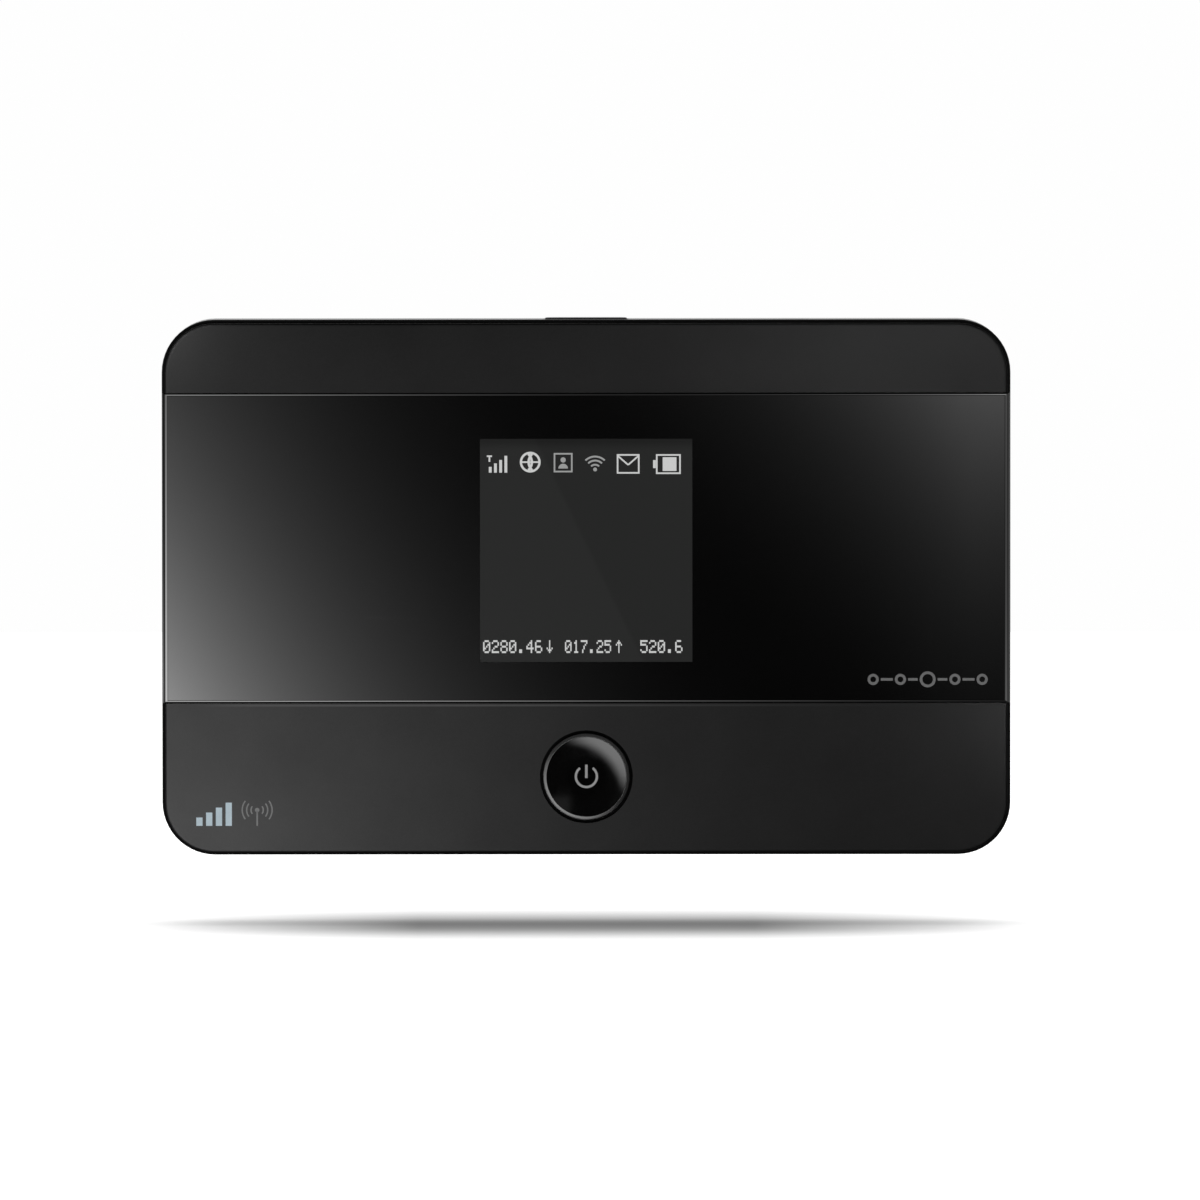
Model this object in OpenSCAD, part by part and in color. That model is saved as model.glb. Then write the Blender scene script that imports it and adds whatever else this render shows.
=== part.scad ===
// Pocket mobile hotspot: a battery-powered cellular router with a colour display.
//
// It stands on its long lower edge. X runs to the right along the face, Y runs from
// the face to the battery cover, and Z runs up. The origin is the middle of the lower
// edge. Lengths are in millimetres.
//
// Every piece is drawn lying on its battery cover, with x to the right, y up the face
// and z from the cover (0) to the front of the lens (body_t). upright() stands it up.

/* [Body] */
// Width of the body
body_w = 106; // [104:0.5:110]
// Height of the body, from the lower edge to the upper edge
body_h = 66.9; // [66:0.1:70]
// Thickness from the battery cover to the front of the lens
body_t = 16; // [15.8:0.1:17.5]
// Corner radius of the outline
corner_r = 6.6; // [6:0.1:8]

/* [Lens and display] */
// Height of the lower edge of the lens above the lower edge of the body
lens_y = 19.1; // [18.6:0.1:19.5]
// Height of the lens, which runs across the full width
lens_h = 38.65; // [37.5:0.05:40]
// Width of the display window
window_w = 26.5; // [24:0.1:27]
// Height of the display window
window_h = 27.9; // [25:0.1:28]
// Height of the middle of the display window
window_y = 38.1; // [37.8:0.1:38.3]

/* [Buttons] */
// Diameter of the power button
power_d = 10.8; // [8:0.1:10.9]
// Height of the middle of the power button
power_y = 9.85; // [9.6:0.05:9.9]
// How far the power button travels
power_travel = 0.3; // [0.2:0.05:0.3]
// Length of the menu button on the upper edge
menu_w = 10.5; // [8:0.1:12]
// How far the menu button travels
menu_travel = 0.3; // [0.2:0.05:0.3]
// How far the reset button travels
reset_travel = 0.2; // [0.1:0.05:0.25]

/* [Battery] */
// Length of the battery pack
battery_w = 62; // [58:0.5:62]
// Height of the battery pack
battery_h = 48; // [44:0.5:48]
// Thickness of the battery pack
battery_t = 6; // [5.5:0.1:6]

/* [Hidden] */
$fn = 96;
fuse = 0.2;            // how far one part of a piece sinks into another
past = 1;              // how far a cut runs past a face

// Levels from the cover (z = 0) forwards
cover_wall = 1.2;
cover_inset = 0.25;
cover_top = 5.3;
cover_round = 3;
scoop_r = 8.4;
scoop_deep = 1;
scoop_x = 18;
tongue_w = 8;
tongue_x = [-36, 0, 36];
battery_z = cover_wall + 0.4;
floor_z = battery_z + battery_t + 0.2;
floor_t = 0.8;
board_z = floor_z + floor_t + 0.2;
board_t = 0.8;
board_top = board_z + board_t;
deck_z = 2.4;
deck_t = 0.8;

// Levels from the lens backwards
lens_t = 1.25;
lens_proud = 0.3;
lens_gap = 0.06;
lens_inset = 0.1;      // the lens reaches nearly to the outline at both ends
lens_round = 0.35;     // rounding along the lens's upper and lower edges
lens_end_round = 0.7;
lens_z = body_t - lens_t;
tape_t = 0.15;
channel_z = lens_z - tape_t;
plate_front = body_t - lens_proud;
plate_back = plate_front - 2;
casing_inset = 0.45;
face_round = 0.4;
rim_z = [5.4, plate_back - 0.1];
rim_wall = 1.35;
ledge_z = [6.9, 7.6];

rim_round = 0.6;
ledge_w = 0.9;

// Inner walls, as distances in from the outline
skirt_inset = 1.45;
skirt_wall = 0.9;
skirt_z = plate_back - 2.7;
wall_inset = 2.4;
wall_t = 0.9;
flange_z = [6, 6.8];
board_inset = 3.6;

// Display stack
lcd_gap = 0.3;
lcd_w = 30.4;
lcd_below = 19.3;      // how far the display reaches below the middle of the window
lcd_above = 15.1;
lcd_y = [window_y - lcd_below, window_y + lcd_above];
rib_gap = 1.1;         // room between the display and the rib round it
rib_t = 0.8;
bezel = 0.85;          // how far the casing's opening stands back from the window
polariser_t = 0.15;
pane_t = 0.5;
backlight_t = 1.1;
polariser_z = plate_back - lcd_gap - polariser_t;
cell_z = polariser_z - 2 * pane_t;
backlight_z = cell_z - backlight_t;
ledge_h = 4.3;         // height of the bare strip of glass that holds the driver chip
flex_t = 0.12;
flex_w = 9;
flex_bend = 0.85;

// Power button
power_r = power_d / 2;
power_hole_r = power_r + 0.4;
power_top = plate_front + 0.05;
power_flange = [plate_back - 0.8, plate_back - 0.15];
power_flange_r = power_r + 1.2;
power_collar = [power_flange_r + 0.3, power_flange_r + 0.8];
power_collar_h = 1.9;
power_stem_r = 1.6;
power_chamfer = 0.45;
dish_depth = 0.75;
dish_edge = power_r - power_chamfer;
dish_r = (dish_edge ^ 2 + dish_depth ^ 2) / (2 * dish_depth);
switch_h = 1.7;
plunger_gap = 0.1;
power_plunger_top = 12.1;

// Menu button
menu_z = board_top + switch_h / 2;
menu_h = 3;
menu_round = 0.35;
menu_proud = 0.2;
menu_gap = 0.15;
menu_flange_y = [body_h - 2.05, body_h - rim_wall - 0.1];
menu_stem_y = body_h - 3.35;
menu_switch_y = [body_h - 6.7, body_h - 4.2];

// Battery pocket and card bay
battery_x = -body_w / 2 + 8.5;
battery_y = (body_h - battery_h) / 2;
pocket_gap = 0.4;
pocket_x = [battery_x - pocket_gap, battery_x + battery_w + pocket_gap];
pocket_y = [battery_y - pocket_gap, battery_y + battery_h + pocket_gap];
bay_wall = 1;
bay_x = [pocket_x[1] + bay_wall, body_w / 2 - wall_inset - wall_t - 0.3];
battery_end = battery_x + battery_w;
cap_t = 1.8;
contact_count = 4;
contact_pitch = 2.65;
contact_y = body_h / 2;
contact_z = battery_z + battery_t / 2 + 0.4;
slot_end = pocket_x[1] + 3.3;

// Card sockets on the back of the board
card_x = bay_x[1] - 15.3; // middle of both card sockets
sim_w = 12;
sim_l = 15;
sim_t = 0.76;
sim_travel = 14.5;
socket_rail = 0.9;
socket_floor = 0.35;
socket_skin = 0.2;
sim_y = [body_h - 23.6, body_h - 9.1];
sim_z = board_z - socket_floor - 0.08 - sim_t;
memory_w = 11;
memory_t = 1;
memory_y = [9.2, 23.8];
memory_z = board_z - socket_floor - 0.06 - memory_t;

// Reset button beside the cards
reset_x = bay_x[1] - 3.2;
reset_y = body_h / 2;
reset_boss = 5.2;
reset_cell = 3.8;
reset_hole_r = 0.85;

// Charging port in the right edge
port_y = body_h / 2;
port_z = board_top + 1.25;
port_x = body_w / 2 - 0.6;
port_depth = 5;
port_shell = [7.5, 2.5];
port_mouth = [6.9, 1.85];

// Screws and their bosses
boss_inset = 6.2;
boss_mid_x = 22;
boss_points = [for (y = [boss_inset, body_h - boss_inset])
    for (x = [-body_w / 2 + boss_inset, boss_mid_x, body_w / 2 - boss_inset]) [x, y]];
boss_r = 2.1;
well_r = 2.9;
head_r = 1.5;
head_h = 0.9;
seat_z = 7;
head_gap = 0.4;
shank_r = 0.7;
shank_gap = 0.25;
screw_l = 5.6;
screw_point = 0.6;
tap_end = seat_z + screw_l + 0.3;
slot_half = [0.85, 0.2];
boss_gap = 0.15;       // room between a boss and the board

// Shield cans and chips on the front of the board
can_wall = 0.15;
can_h = 1.8;
low_can_h = 1.4;
chip_h = 1;

// ---------------------------------------------------------------- helpers

// Stands a piece drawn on its back up on its lower edge
module upright() {
    translate([0, body_t / 2, 0]) rotate([90, 0, 0]) children();
}

// A box given by its range along each axis
module block(x, y, z) {
    translate([x[0], y[0], z[0]]) cube([x[1] - x[0], y[1] - y[0], z[1] - z[0]]);
}

// A flat shape in x and z, drawn out along y
module along_y(y) {
    translate([0, y[1], 0]) rotate([90, 0, 0]) linear_extrude(y[1] - y[0]) children();
}

// A flat shape in y and z, drawn out along x
module along_x(x) {
    translate([x[0], 0, 0]) rotate([90, 0, 90]) linear_extrude(x[1] - x[0]) children();
}

module rounded_rect(w, h, r) {
    square([w - 2 * r, h], center = true);
    square([w, h - 2 * r], center = true);
    for (sx = [-1, 1], sy = [-1, 1])
        translate([sx * (w / 2 - r), sy * (h / 2 - r)]) circle(r);
}

// The body's outline, moved in by a distance
module outline(inset) {
    translate([0, body_h / 2])
        rounded_rect(body_w - 2 * inset, body_h - 2 * inset, corner_r - inset);
}

module layer(inset, z) {
    translate([0, 0, z[0]]) linear_extrude(z[1] - z[0]) outline(inset);
}

module ring(outer, inner, z) {
    translate([0, 0, z[0]]) linear_extrude(z[1] - z[0]) difference() {
        outline(outer);
        outline(inner);
    }
}

// What rounding takes off a corner that points along +x and +y
module corner_waste(r) {
    difference() {
        square(r + past);
        circle(r);
    }
}

// Half of a section: width half, height t, its outer corners rounded back and front
module half_profile(half, t, back, front) {
    difference() {
        square([half, t]);
        if (front > 0) translate([half - front, t - front]) corner_waste(front);
        if (back > 0) translate([half - back, back]) mirror([0, 1]) corner_waste(back);
    }
}

module full_profile(half, t, back, front) {
    half_profile(half, t, back, front);
    mirror([1, 0]) half_profile(half, t, back, front);
}

// A plate with round corners and rounded back and front edges, centred on x and y
module soft_plate(w, h, r, t, back, front) {
    along_x([r - w / 2, w / 2 - r]) full_profile(h / 2, t, back, front);
    for (s = [0, 1]) mirror([s, 0, 0])
        translate([w / 2 - r, 0, 0]) along_y([r - h / 2, h / 2 - r])
            half_profile(r, t, back, front);
    for (sx = [0, 1], sy = [0, 1]) mirror([sx, 0, 0]) mirror([0, sy, 0])
        translate([w / 2 - r, h / 2 - r, 0]) rotate_extrude(angle = 90)
            half_profile(r, t, back, front);
}

// The body's outline as a soft plate
module soft_layer(inset, z, back, front) {
    translate([0, body_h / 2, z[0]])
        soft_plate(body_w - 2 * inset, body_h - 2 * inset, corner_r - inset,
            z[1] - z[0], back, front);
}

// A long shape with round ends, w by h, its front edge rounded
module soft_pill(w, h, t, front) {
    along_x([h / 2 - w / 2, w / 2 - h / 2]) full_profile(h / 2, t, 0, front);
    for (s = [0, 1]) mirror([s, 0, 0]) translate([w / 2 - h / 2, 0, 0])
        rotate([0, 0, -90]) rotate_extrude(angle = 180) half_profile(h / 2, t, 0, front);
}

module at_bosses() {
    for (p = boss_points) translate([p[0], p[1], 0]) children();
}

// A rectangular frame in plan
module frame(x, y, z, t) {
    difference() {
        block(x, y, z);
        block([x[0] + t, x[1] - t], [y[0] + t, y[1] - t], [z[0] - past, z[1] + past]);
    }
}

// ---------------------------------------------------------------- casing

// Front shell: the matt face with the channel for the lens, and six screw bosses
module front_casing() {
    rib_x = [-lcd_w / 2 - rib_gap, lcd_w / 2 + rib_gap];
    rib_y = [lcd_y[0] - rib_gap, lcd_y[1] + rib_gap];
    opening = [window_w / 2 + bezel, window_h / 2 + bezel];
    color("#2a2a2c") difference() {
        union() {
            soft_layer(casing_inset, [plate_back, plate_front], 0.3, face_round);
            ring(skirt_inset, skirt_inset + skirt_wall, [skirt_z, plate_back + fuse]);
            at_bosses() translate([0, 0, board_z - boss_gap])
                cylinder(r = boss_r, h = plate_back + fuse - board_z + boss_gap);
            translate([0, power_y, plate_back - power_collar_h])
                cylinder(r = power_collar[1], h = power_collar_h + fuse);
            frame(rib_x, rib_y, [backlight_z + 0.3, plate_back + fuse], rib_t);
        }
        block([-body_w, body_w], [lens_y - lens_gap, lens_y + lens_h + lens_gap],
            [channel_z, body_t + past]);
        block([-opening[0], opening[0]], [window_y - opening[1], window_y + opening[1]],
            [plate_back - past, body_t]);
        translate([0, power_y, plate_back - power_collar_h - past]) {
            cylinder(r = power_hole_r, h = body_t);
            cylinder(r = power_collar[0], h = power_collar_h + past);
        }
        at_bosses() translate([0, 0, board_z - past])
            cylinder(r = shank_r + 0.02, h = tap_end - board_z + past);
        // room for the menu button, the charging port and the display's flat cable
        block([-menu_w / 2 - 1.2, menu_w / 2 + 1.2], [body_h - 3, body_h - 1.2],
            [skirt_z - past, menu_z + 2.5]);
        block([body_w / 2 - 3, body_w / 2 - 1.2], [port_y - 4.6, port_y + 4.6],
            [skirt_z - past, port_z + 1.6]);
        block([-flex_w / 2 - 0.5, flex_w / 2 + 0.5], [rib_y[0] - fuse, rib_y[0] + 1.5],
            [0, plate_back - 0.3]);
    }
}

// Lens: a clear panel across the full width, its edges rounded towards the front
module display_lens() {
    half_w = body_w / 2 - lens_inset;
    color("#0a0a0b") intersection() {
        along_x([-half_w, half_w]) translate([lens_y + lens_h / 2, lens_z])
            full_profile(lens_h / 2, lens_t, 0, lens_round);
        along_y([lens_y - past, lens_y + lens_h + past]) translate([0, lens_z])
            full_profile(half_w, lens_t, 0, lens_end_round);
    }
}

// Black tape behind the lens, open at the display window
module lens_adhesive() {
    half_w = body_w / 2 - casing_inset - 0.4;
    color("#101010") difference() {
        block([-half_w, half_w], [lens_y + 0.3, lens_y + lens_h - 0.3],
            [channel_z, lens_z]);
        block([-window_w / 2, window_w / 2],
            [window_y - window_h / 2, window_y + window_h / 2],
            [channel_z - past, lens_z + past]);
    }
}

// Glossy band round the edge, with openings for the menu button and the charging port
module rim_frame() {
    color("#151516") difference() {
        union() {
            difference() {
                soft_layer(0, rim_z, rim_round, rim_round);
                layer(rim_wall, [rim_z[0] - past, rim_z[1] + past]);
            }
            ring(rim_wall - fuse, rim_wall + ledge_w, ledge_z);
        }
        translate([0, body_h - 4, menu_z]) rotate([-90, 0, 0])
            soft_pill(menu_w + 2 * menu_gap, menu_h + 2 * menu_gap, 6, 0);
        along_x([body_w / 2 - 3, body_w / 2 + past]) translate([port_y, port_z])
            rounded_rect(port_shell[0] + 0.9, port_shell[1] + 0.9, 0.9);
    }
}

// Inner housing: battery pocket, card bay, antenna decks and screw wells
module chassis() {
    floor_y = [pocket_y[0] - bay_wall, pocket_y[1] + bay_wall];
    color("#1c1c1e") difference() {
        union() {
            difference() {
                union() {
                    ring(wall_inset, wall_inset + wall_t, [battery_z + 0.1, skirt_z - 0.2]);
                    ring(skirt_inset, wall_inset + fuse, flange_z);
                    layer(wall_inset + fuse, [deck_z, deck_z + deck_t]);
                    block([pocket_x[0] - bay_wall, bay_x[1] + 0.6], floor_y,
                        [deck_z, floor_z + floor_t]);
                    at_bosses() translate([0, 0, deck_z])
                        cylinder(r = well_r, h = floor_z + floor_t - deck_z);
                }
                block(pocket_x, pocket_y, [0, floor_z]);
                block(bay_x, pocket_y, [0, floor_z]);
            }
            block([reset_x - reset_boss / 2, reset_x + reset_boss / 2],
                [reset_y - reset_boss / 2, reset_y + reset_boss / 2],
                [floor_z - 0.9, floor_z + fuse]);
        }
        at_bosses() {
            cylinder(r = head_r + head_gap, h = seat_z);
            cylinder(r = shank_r + shank_gap, h = body_t);
        }
        // window over the card sockets, and the one for the battery connector
        block([card_x - 8.2, card_x + 8.2], pocket_y,
            [floor_z - past, floor_z + floor_t + past]);
        block([pocket_x[1] - 0.1, pocket_x[1] + 5.2], [contact_y - 6.3, contact_y + 6.3],
            [deck_z - past, floor_z + floor_t + past]);
        // reset switch cell and its pin hole
        block([reset_x - reset_cell / 2, reset_x + reset_cell / 2],
            [reset_y - reset_cell / 2, reset_y + reset_cell / 2],
            [floor_z - 0.25, floor_z + floor_t + past]);
        translate([reset_x, reset_y, 0]) cylinder(r = reset_hole_r, h = floor_z);
        // room for the menu button's stem and the charging port
        block([-2, 2], [body_h - 4, body_h - 2], [menu_z - 1.8, skirt_z]);
        block([body_w / 2 - 4, body_w / 2 - 2], [port_y - 4.4, port_y + 4.4],
            [port_z - 1.6, skirt_z]);
        // slots for the antenna tails
        for (x = antenna_feed_x, y = antenna_feed_y) block([x - 1.8, x + 1.8],
            [y - 0.3, y + 0.3], [deck_z - past, deck_z + deck_t + past]);
    }
}

// Battery cover: a tray with rounded edges, tongues that locate it and a nail scoop
module battery_cover() {
    color("#232325") difference() {
        union() {
            difference() {
                soft_layer(cover_inset, [0, cover_top], cover_round, 0.25);
                soft_layer(cover_inset + cover_wall, [cover_wall, cover_top + past],
                    cover_round - cover_wall, 0);
            }
            for (x = tongue_x, s = [0, 1])
                translate([x, s * body_h, 0]) mirror([0, s, 0]) tongue(tongue_w);
            for (s = [0, 1]) mirror([s, 0, 0])
                translate([-body_w / 2, body_h / 2, 0]) rotate([0, 0, -90]) tongue(tongue_w);
        }
        translate([scoop_x, 0, cover_top - scoop_deep + scoop_r])
            along_y([-past, cover_inset + cover_wall + past]) circle(scoop_r);
    }
}

// One locating tongue on the lower edge, with its root in the wall of the cover
module tongue(w) {
    root = cover_inset + cover_wall - fuse;
    block([-w / 2, w / 2], [root, 2.15], [cover_wall + 1.6, cover_top - 0.4]);
    block([-w / 2 + 0.5, w / 2 - 0.5], [rim_wall + 0.15, 2.15],
        [cover_top - 0.6, flange_z[0] - 0.15]);
}

// Six screws that pull the chassis and the front casing together
module case_screws() {
    color("#8a8c90") at_bosses() difference() {
        union() {
            translate([0, 0, seat_z - head_h]) cylinder(r = head_r, h = head_h);
            translate([0, 0, seat_z - fuse])
                cylinder(r = shank_r, h = screw_l - screw_point + fuse);
            translate([0, 0, seat_z + screw_l - screw_point])
                cylinder(r1 = shank_r, r2 = 0.3, h = screw_point);
        }
        for (a = [0, 90]) rotate([0, 0, a])
            block([-slot_half[0], slot_half[0]], [-slot_half[1], slot_half[1]],
                [seat_z - head_h - past, seat_z - 0.35]);
    }
}

// ---------------------------------------------------------------- display

module display_gasket() {
    color("#18181a") difference() {
        block([-lcd_w / 2 + 0.2, lcd_w / 2 - 0.2],
            [window_y - window_h / 2 - 1.6, window_y + window_h / 2 + 1.1],
            [polariser_z, plate_back]);
        block([-window_w / 2 - 0.95, window_w / 2 + 0.95],
            [window_y - window_h / 2 - 0.95, window_y + window_h / 2 + 0.6],
            [polariser_z - past, plate_back + past]);
    }
}

module display_polariser() {
    color("#2b2c2d") block([-window_w / 2 - 0.8, window_w / 2 + 0.8],
        [window_y - window_h / 2 - 0.85, window_y + window_h / 2 + 0.5],
        [polariser_z, polariser_z + polariser_t]);
}

// Two panes: the back one is longer and carries the driver chip on its lower strip
module display_cell() {
    half_w = lcd_w / 2 - 0.3;
    color("#3a3d40") {
        block([-half_w, half_w], [lcd_y[0] + 0.2, lcd_y[1] - 0.2],
            [cell_z, cell_z + pane_t]);
        block([-half_w, half_w], [lcd_y[0] + ledge_h, lcd_y[1] - 0.2],
            [cell_z + pane_t - 0.01, polariser_z]);
    }
}

module display_driver_chip() {
    color("#15161a") block([-8.5, 8.5], [lcd_y[0] + 2.4, lcd_y[0] + 3.6],
        [cell_z + pane_t, cell_z + pane_t + 0.3]);
}

module display_backlight() {
    color("#e8e8e4") difference() {
        block([-lcd_w / 2, lcd_w / 2], lcd_y, [backlight_z, cell_z]);
        block([-lcd_w / 2 + 1.4, lcd_w / 2 - 1.4], [lcd_y[0] + 3, lcd_y[1] - 1.4],
            [cell_z - 0.2, cell_z + past]);
    }
}

// Flat cable from the glass, folded back under the display to its connector
module display_flex() {
    y0 = lcd_y[0] - 0.3;
    top = cell_z + pane_t;
    bottom = top + flex_t - 2 * (flex_bend + flex_t);
    color("#b8742a") {
        block([-flex_w / 2, flex_w / 2], [y0, lcd_y[0] + 1.9], [top, top + flex_t]);
        block([-flex_w / 2, flex_w / 2], [y0, lcd_y[0] + 3.4], [bottom, bottom + flex_t]);
        along_x([-flex_w / 2, flex_w / 2]) translate([y0, top - flex_bend])
            difference() {
                circle(flex_bend + flex_t);
                circle(flex_bend);
                translate([0, -2]) square([3, 4]);
            }
    }
}

module display_connector() {
    flex_bottom = cell_z + pane_t + flex_t - 2 * (flex_bend + flex_t);
    color("#d9cfb4") block([-6.5, 6.5], [lcd_y[0] + 1.9, lcd_y[0] + 5.4],
        [board_top, flex_bottom]);
}

// ---------------------------------------------------------------- board

module main_board() {
    color("#1f5a3c") difference() {
        layer(board_inset, [board_z, board_top]);
        at_bosses() translate([0, 0, board_z - past]) cylinder(r = 3, h = 3);
    }
}

// A drawn shield can, open towards the board
module shield_can(x, y, h) {
    r = 0.8;
    cx = (x[0] + x[1]) / 2;
    cy = (y[0] + y[1]) / 2;
    w = x[1] - x[0];
    l = y[1] - y[0];
    color("#b9bcc0") translate([cx, cy, board_top]) difference() {
        soft_plate(w, l, r, h, 0, 0.3);
        translate([0, 0, -past])
            linear_extrude(h + past - can_wall)
                rounded_rect(w - 2 * can_wall, l - 2 * can_wall, r - can_wall);
    }
}

module modem_shield() {
    shield_can([-15, 15], [lcd_y[0] + 6.6, lcd_y[1] - 1], low_can_h);
}

module radio_shield() {
    shield_can([-43, -18.5], [14, 52], can_h);
}

module wifi_shield() {
    shield_can([19, 44], [38.8, 56.5], can_h);
}

// A chip with a chamfer-free square body, standing on the board
module chip(x, y, w, l, h) {
    color("#202226") block([x - w / 2, x + w / 2], [y - l / 2, y + l / 2],
        [board_top, board_top + h]);
}

module modem_chip() {
    chip(-6, window_y + 1, 13, 13, chip_h);
}

module memory_chip() {
    chip(8.5, window_y + 1, 9, 11.5, 0.9);
}

module power_chip() {
    chip(31, 25, 6, 6, 0.9);
}

module radio_chips() {
    chip(-31, 38, 8, 8, chip_h);
    for (y = [19, 24.5, 47.5]) chip(-37, y, 5, 3.4, chip_h);
}

module wifi_chip() {
    chip(31, 47.5, 9, 9, 0.9);
}

module oscillator() {
    color("#c9c9c4") block([22.4, 25.6], [46.2, 48.7], [board_top, board_top + 0.7]);
}

// Rows of capacitors and inductors, each one soldered to the board
module board_passives() {
    color("#9a8468") {
        for (i = [0:6], x = [22, 38]) block([x, x + 1.6], [15 + i * 2, 15.8 + i * 2],
            [board_top, board_top + 0.8]);
        for (i = [0:2]) block([26.4 + i * 4.2, 29.4 + i * 4.2], [14.5, 17.5],
            [board_top, board_top + 1.5]);
        for (i = [0:7]) block([-38 + i * 2.4, -36.9 + i * 2.4], [54.2, 54.8],
            [board_top, board_top + 0.5]);
        for (i = [0:5]) block([-14 + i * 1.8, -13 + i * 1.8], [54.6, 55.1],
            [board_top, board_top + 0.5]);
    }
}

module thermal_pad() {
    z = board_top + chip_h;
    color("#8fa6b8") block([-11.5, -0.5], [window_y - 4.5, window_y + 6.5],
        [z, board_top + low_can_h - can_wall]);
}

// Pin sockets where the radio is tested on the production line
module radio_test_sockets() {
    color("#c9b06a") for (x = [-38, -33, -28]) translate([x, 9.5, board_top])
        difference() {
            union() {
                block([-1.2, 1.2], [-1.2, 1.2], [0, 0.4]);
                cylinder(r = 1, h = 1.1);
            }
            translate([0, 0, 0.5]) cylinder(r = 0.6, h = 1);
        }
}

// ---------------------------------------------------------------- sockets

// The port's opening: wide at the top, drawn in at the two lower corners
module port_shape(size, chamfer) {
    w = size[0] / 2;
    h = size[1] / 2;
    polygon([[-w, h], [w, h], [w, -h + chamfer], [w - chamfer * 1.2, -h],
        [-w + chamfer * 1.2, -h], [-w, -h + chamfer]]);
}

module usb_shell() {
    color("#b9bcc0") difference() {
        along_x([port_x - port_depth, port_x]) translate([port_y, port_z])
            port_shape(port_shell, 0.8);
        along_x([port_x - port_depth + 0.3, port_x + past]) translate([port_y, port_z])
            port_shape(port_mouth, 0.65);
    }
}

module usb_tongue() {
    back = port_x - port_depth + 0.3;
    color("#1a1a1c") {
        along_x([back, back + 0.7]) translate([port_y, port_z])
            port_shape([port_mouth[0] - 0.04, port_mouth[1] - 0.04], 0.65);
        block([back, port_x - 0.7], [port_y - 1.85, port_y + 1.85],
            [port_z - 0.05, port_z + 0.55]);
    }
}

// Plastic tray of a card socket: a floor against the board and a rail on each side
module socket_base(y, card_w, card_t, mouth_up) {
    half = card_w / 2 + 0.2 + socket_rail;
    z = board_z - socket_floor - 0.12 - card_t;
    stop = mouth_up ? [y[0], y[0] + 0.5] : [y[1] - 0.5, y[1]];
    color("#1b1b1d") {
        block([card_x - half, card_x + half], y, [board_z - socket_floor, board_z]);
        for (s = [-1, 1]) block([card_x + s * (half - socket_rail / 2) - socket_rail / 2,
            card_x + s * (half - socket_rail / 2) + socket_rail / 2], y,
            [z, board_z - socket_floor + 0.01]);
        block([card_x - half, card_x + half], stop, [z, board_z - socket_floor + 0.01]);
    }
}

// Sheet steel lid of a card socket, with a window and two folded sides
module socket_shell(y, card_w, card_t, window) {
    half = card_w / 2 + 0.2 + socket_rail;
    z = board_z - socket_floor - 0.12 - card_t;
    color("#c3c6ca") difference() {
        union() {
            block([card_x - half - 0.2, card_x + half + 0.2], y, [z - socket_skin, z]);
            for (s = [-1, 1]) block([card_x + s * (half + 0.1) - 0.1,
                card_x + s * (half + 0.1) + 0.1], y, [z - 0.05, board_z]);
        }
        for (x = window) block([card_x + x - 1, card_x + x + 1],
            [y[0] + 3.2, y[1] - 3.2], [z - past, z + past]);
    }
}

module sim_socket_base() {
    socket_base(sim_y, sim_w, sim_t, false);
}

module sim_socket_shell() {
    socket_shell(sim_y, sim_w, sim_t, [-4, 0, 4]);
}

module card_socket_base() {
    socket_base(memory_y, memory_w, memory_t, true);
}

module card_socket_shell() {
    socket_shell(memory_y, memory_w, memory_t, [-3.4, 3.4]);
}

// The subscriber card, pushed home with a strip left out to pull it by
module sim_card() {
    y0 = sim_y[0] - 1.3;
    color("#e9e9ea") translate([card_x, y0, sim_z]) linear_extrude(sim_t)
        polygon([[-sim_w / 2, 0], [sim_w / 2, 0], [sim_w / 2, sim_l],
            [-sim_w / 2 + 2.5, sim_l], [-sim_w / 2, sim_l - 2.5]]);
}

module sim_card_pads() {
    color("#d8b04a") for (i = [0:2], s = [0, 1])
        block([card_x - 4.5 + s * 5, card_x - 0.5 + s * 5],
            [sim_y[0] + 3 + i * 2.6, sim_y[0] + 5.2 + i * 2.6],
            [sim_z + sim_t, sim_z + sim_t + 0.03]);
}

// ---------------------------------------------------------------- battery

contact_rows = [for (i = [0:contact_count - 1])
    contact_y + (i - (contact_count - 1) / 2) * contact_pitch];
spring_r = 1.2;
spring_x = battery_end + 0.03 + spring_r;

module battery_connector() {
    x0 = pocket_x[1] + 0.1;
    color("#222225") difference() {
        block([x0, x0 + 4.6], [contact_y - 6, contact_y + 6], [deck_z + 0.8, board_z]);
        for (y = contact_rows) block([x0 - past, slot_end], [y - 0.75, y + 0.75],
            [contact_z - 1.5, contact_z + 1.5]);
    }
}

// Looped contact springs, each with its foot held in the connector
module battery_springs() {
    color("#d8b04a") for (y = contact_rows) along_y([y - 0.5, y + 0.5])
        translate([spring_x, contact_z]) {
            difference() {
                circle(spring_r);
                circle(spring_r - 0.2);
            }
            translate([0, spring_r - 0.2]) square([slot_end - spring_x, 0.2]);
        }
}

module battery_cell() {
    color("#2e2f33") along_x([battery_x + cap_t, battery_end - cap_t])
        translate([body_h / 2, battery_z]) full_profile(battery_h / 2, battery_t, 0.9, 0.9);
}

// A plastic cap that closes one end of the battery pack
module battery_cap(x) {
    along_x(x) translate([body_h / 2, battery_z])
        full_profile(battery_h / 2, battery_t, 0.7, 0.7);
}

module battery_contact_cap() {
    color("#141416") difference() {
        battery_cap([battery_end - cap_t, battery_end]);
        for (y = contact_rows) block([battery_end - 0.3, battery_end + past],
            [y - 0.95, y + 0.95], [contact_z - 1.4, contact_z + 1.4]);
    }
}

module battery_end_cap() {
    color("#141416") battery_cap([battery_x, battery_x + cap_t]);
}

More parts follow.
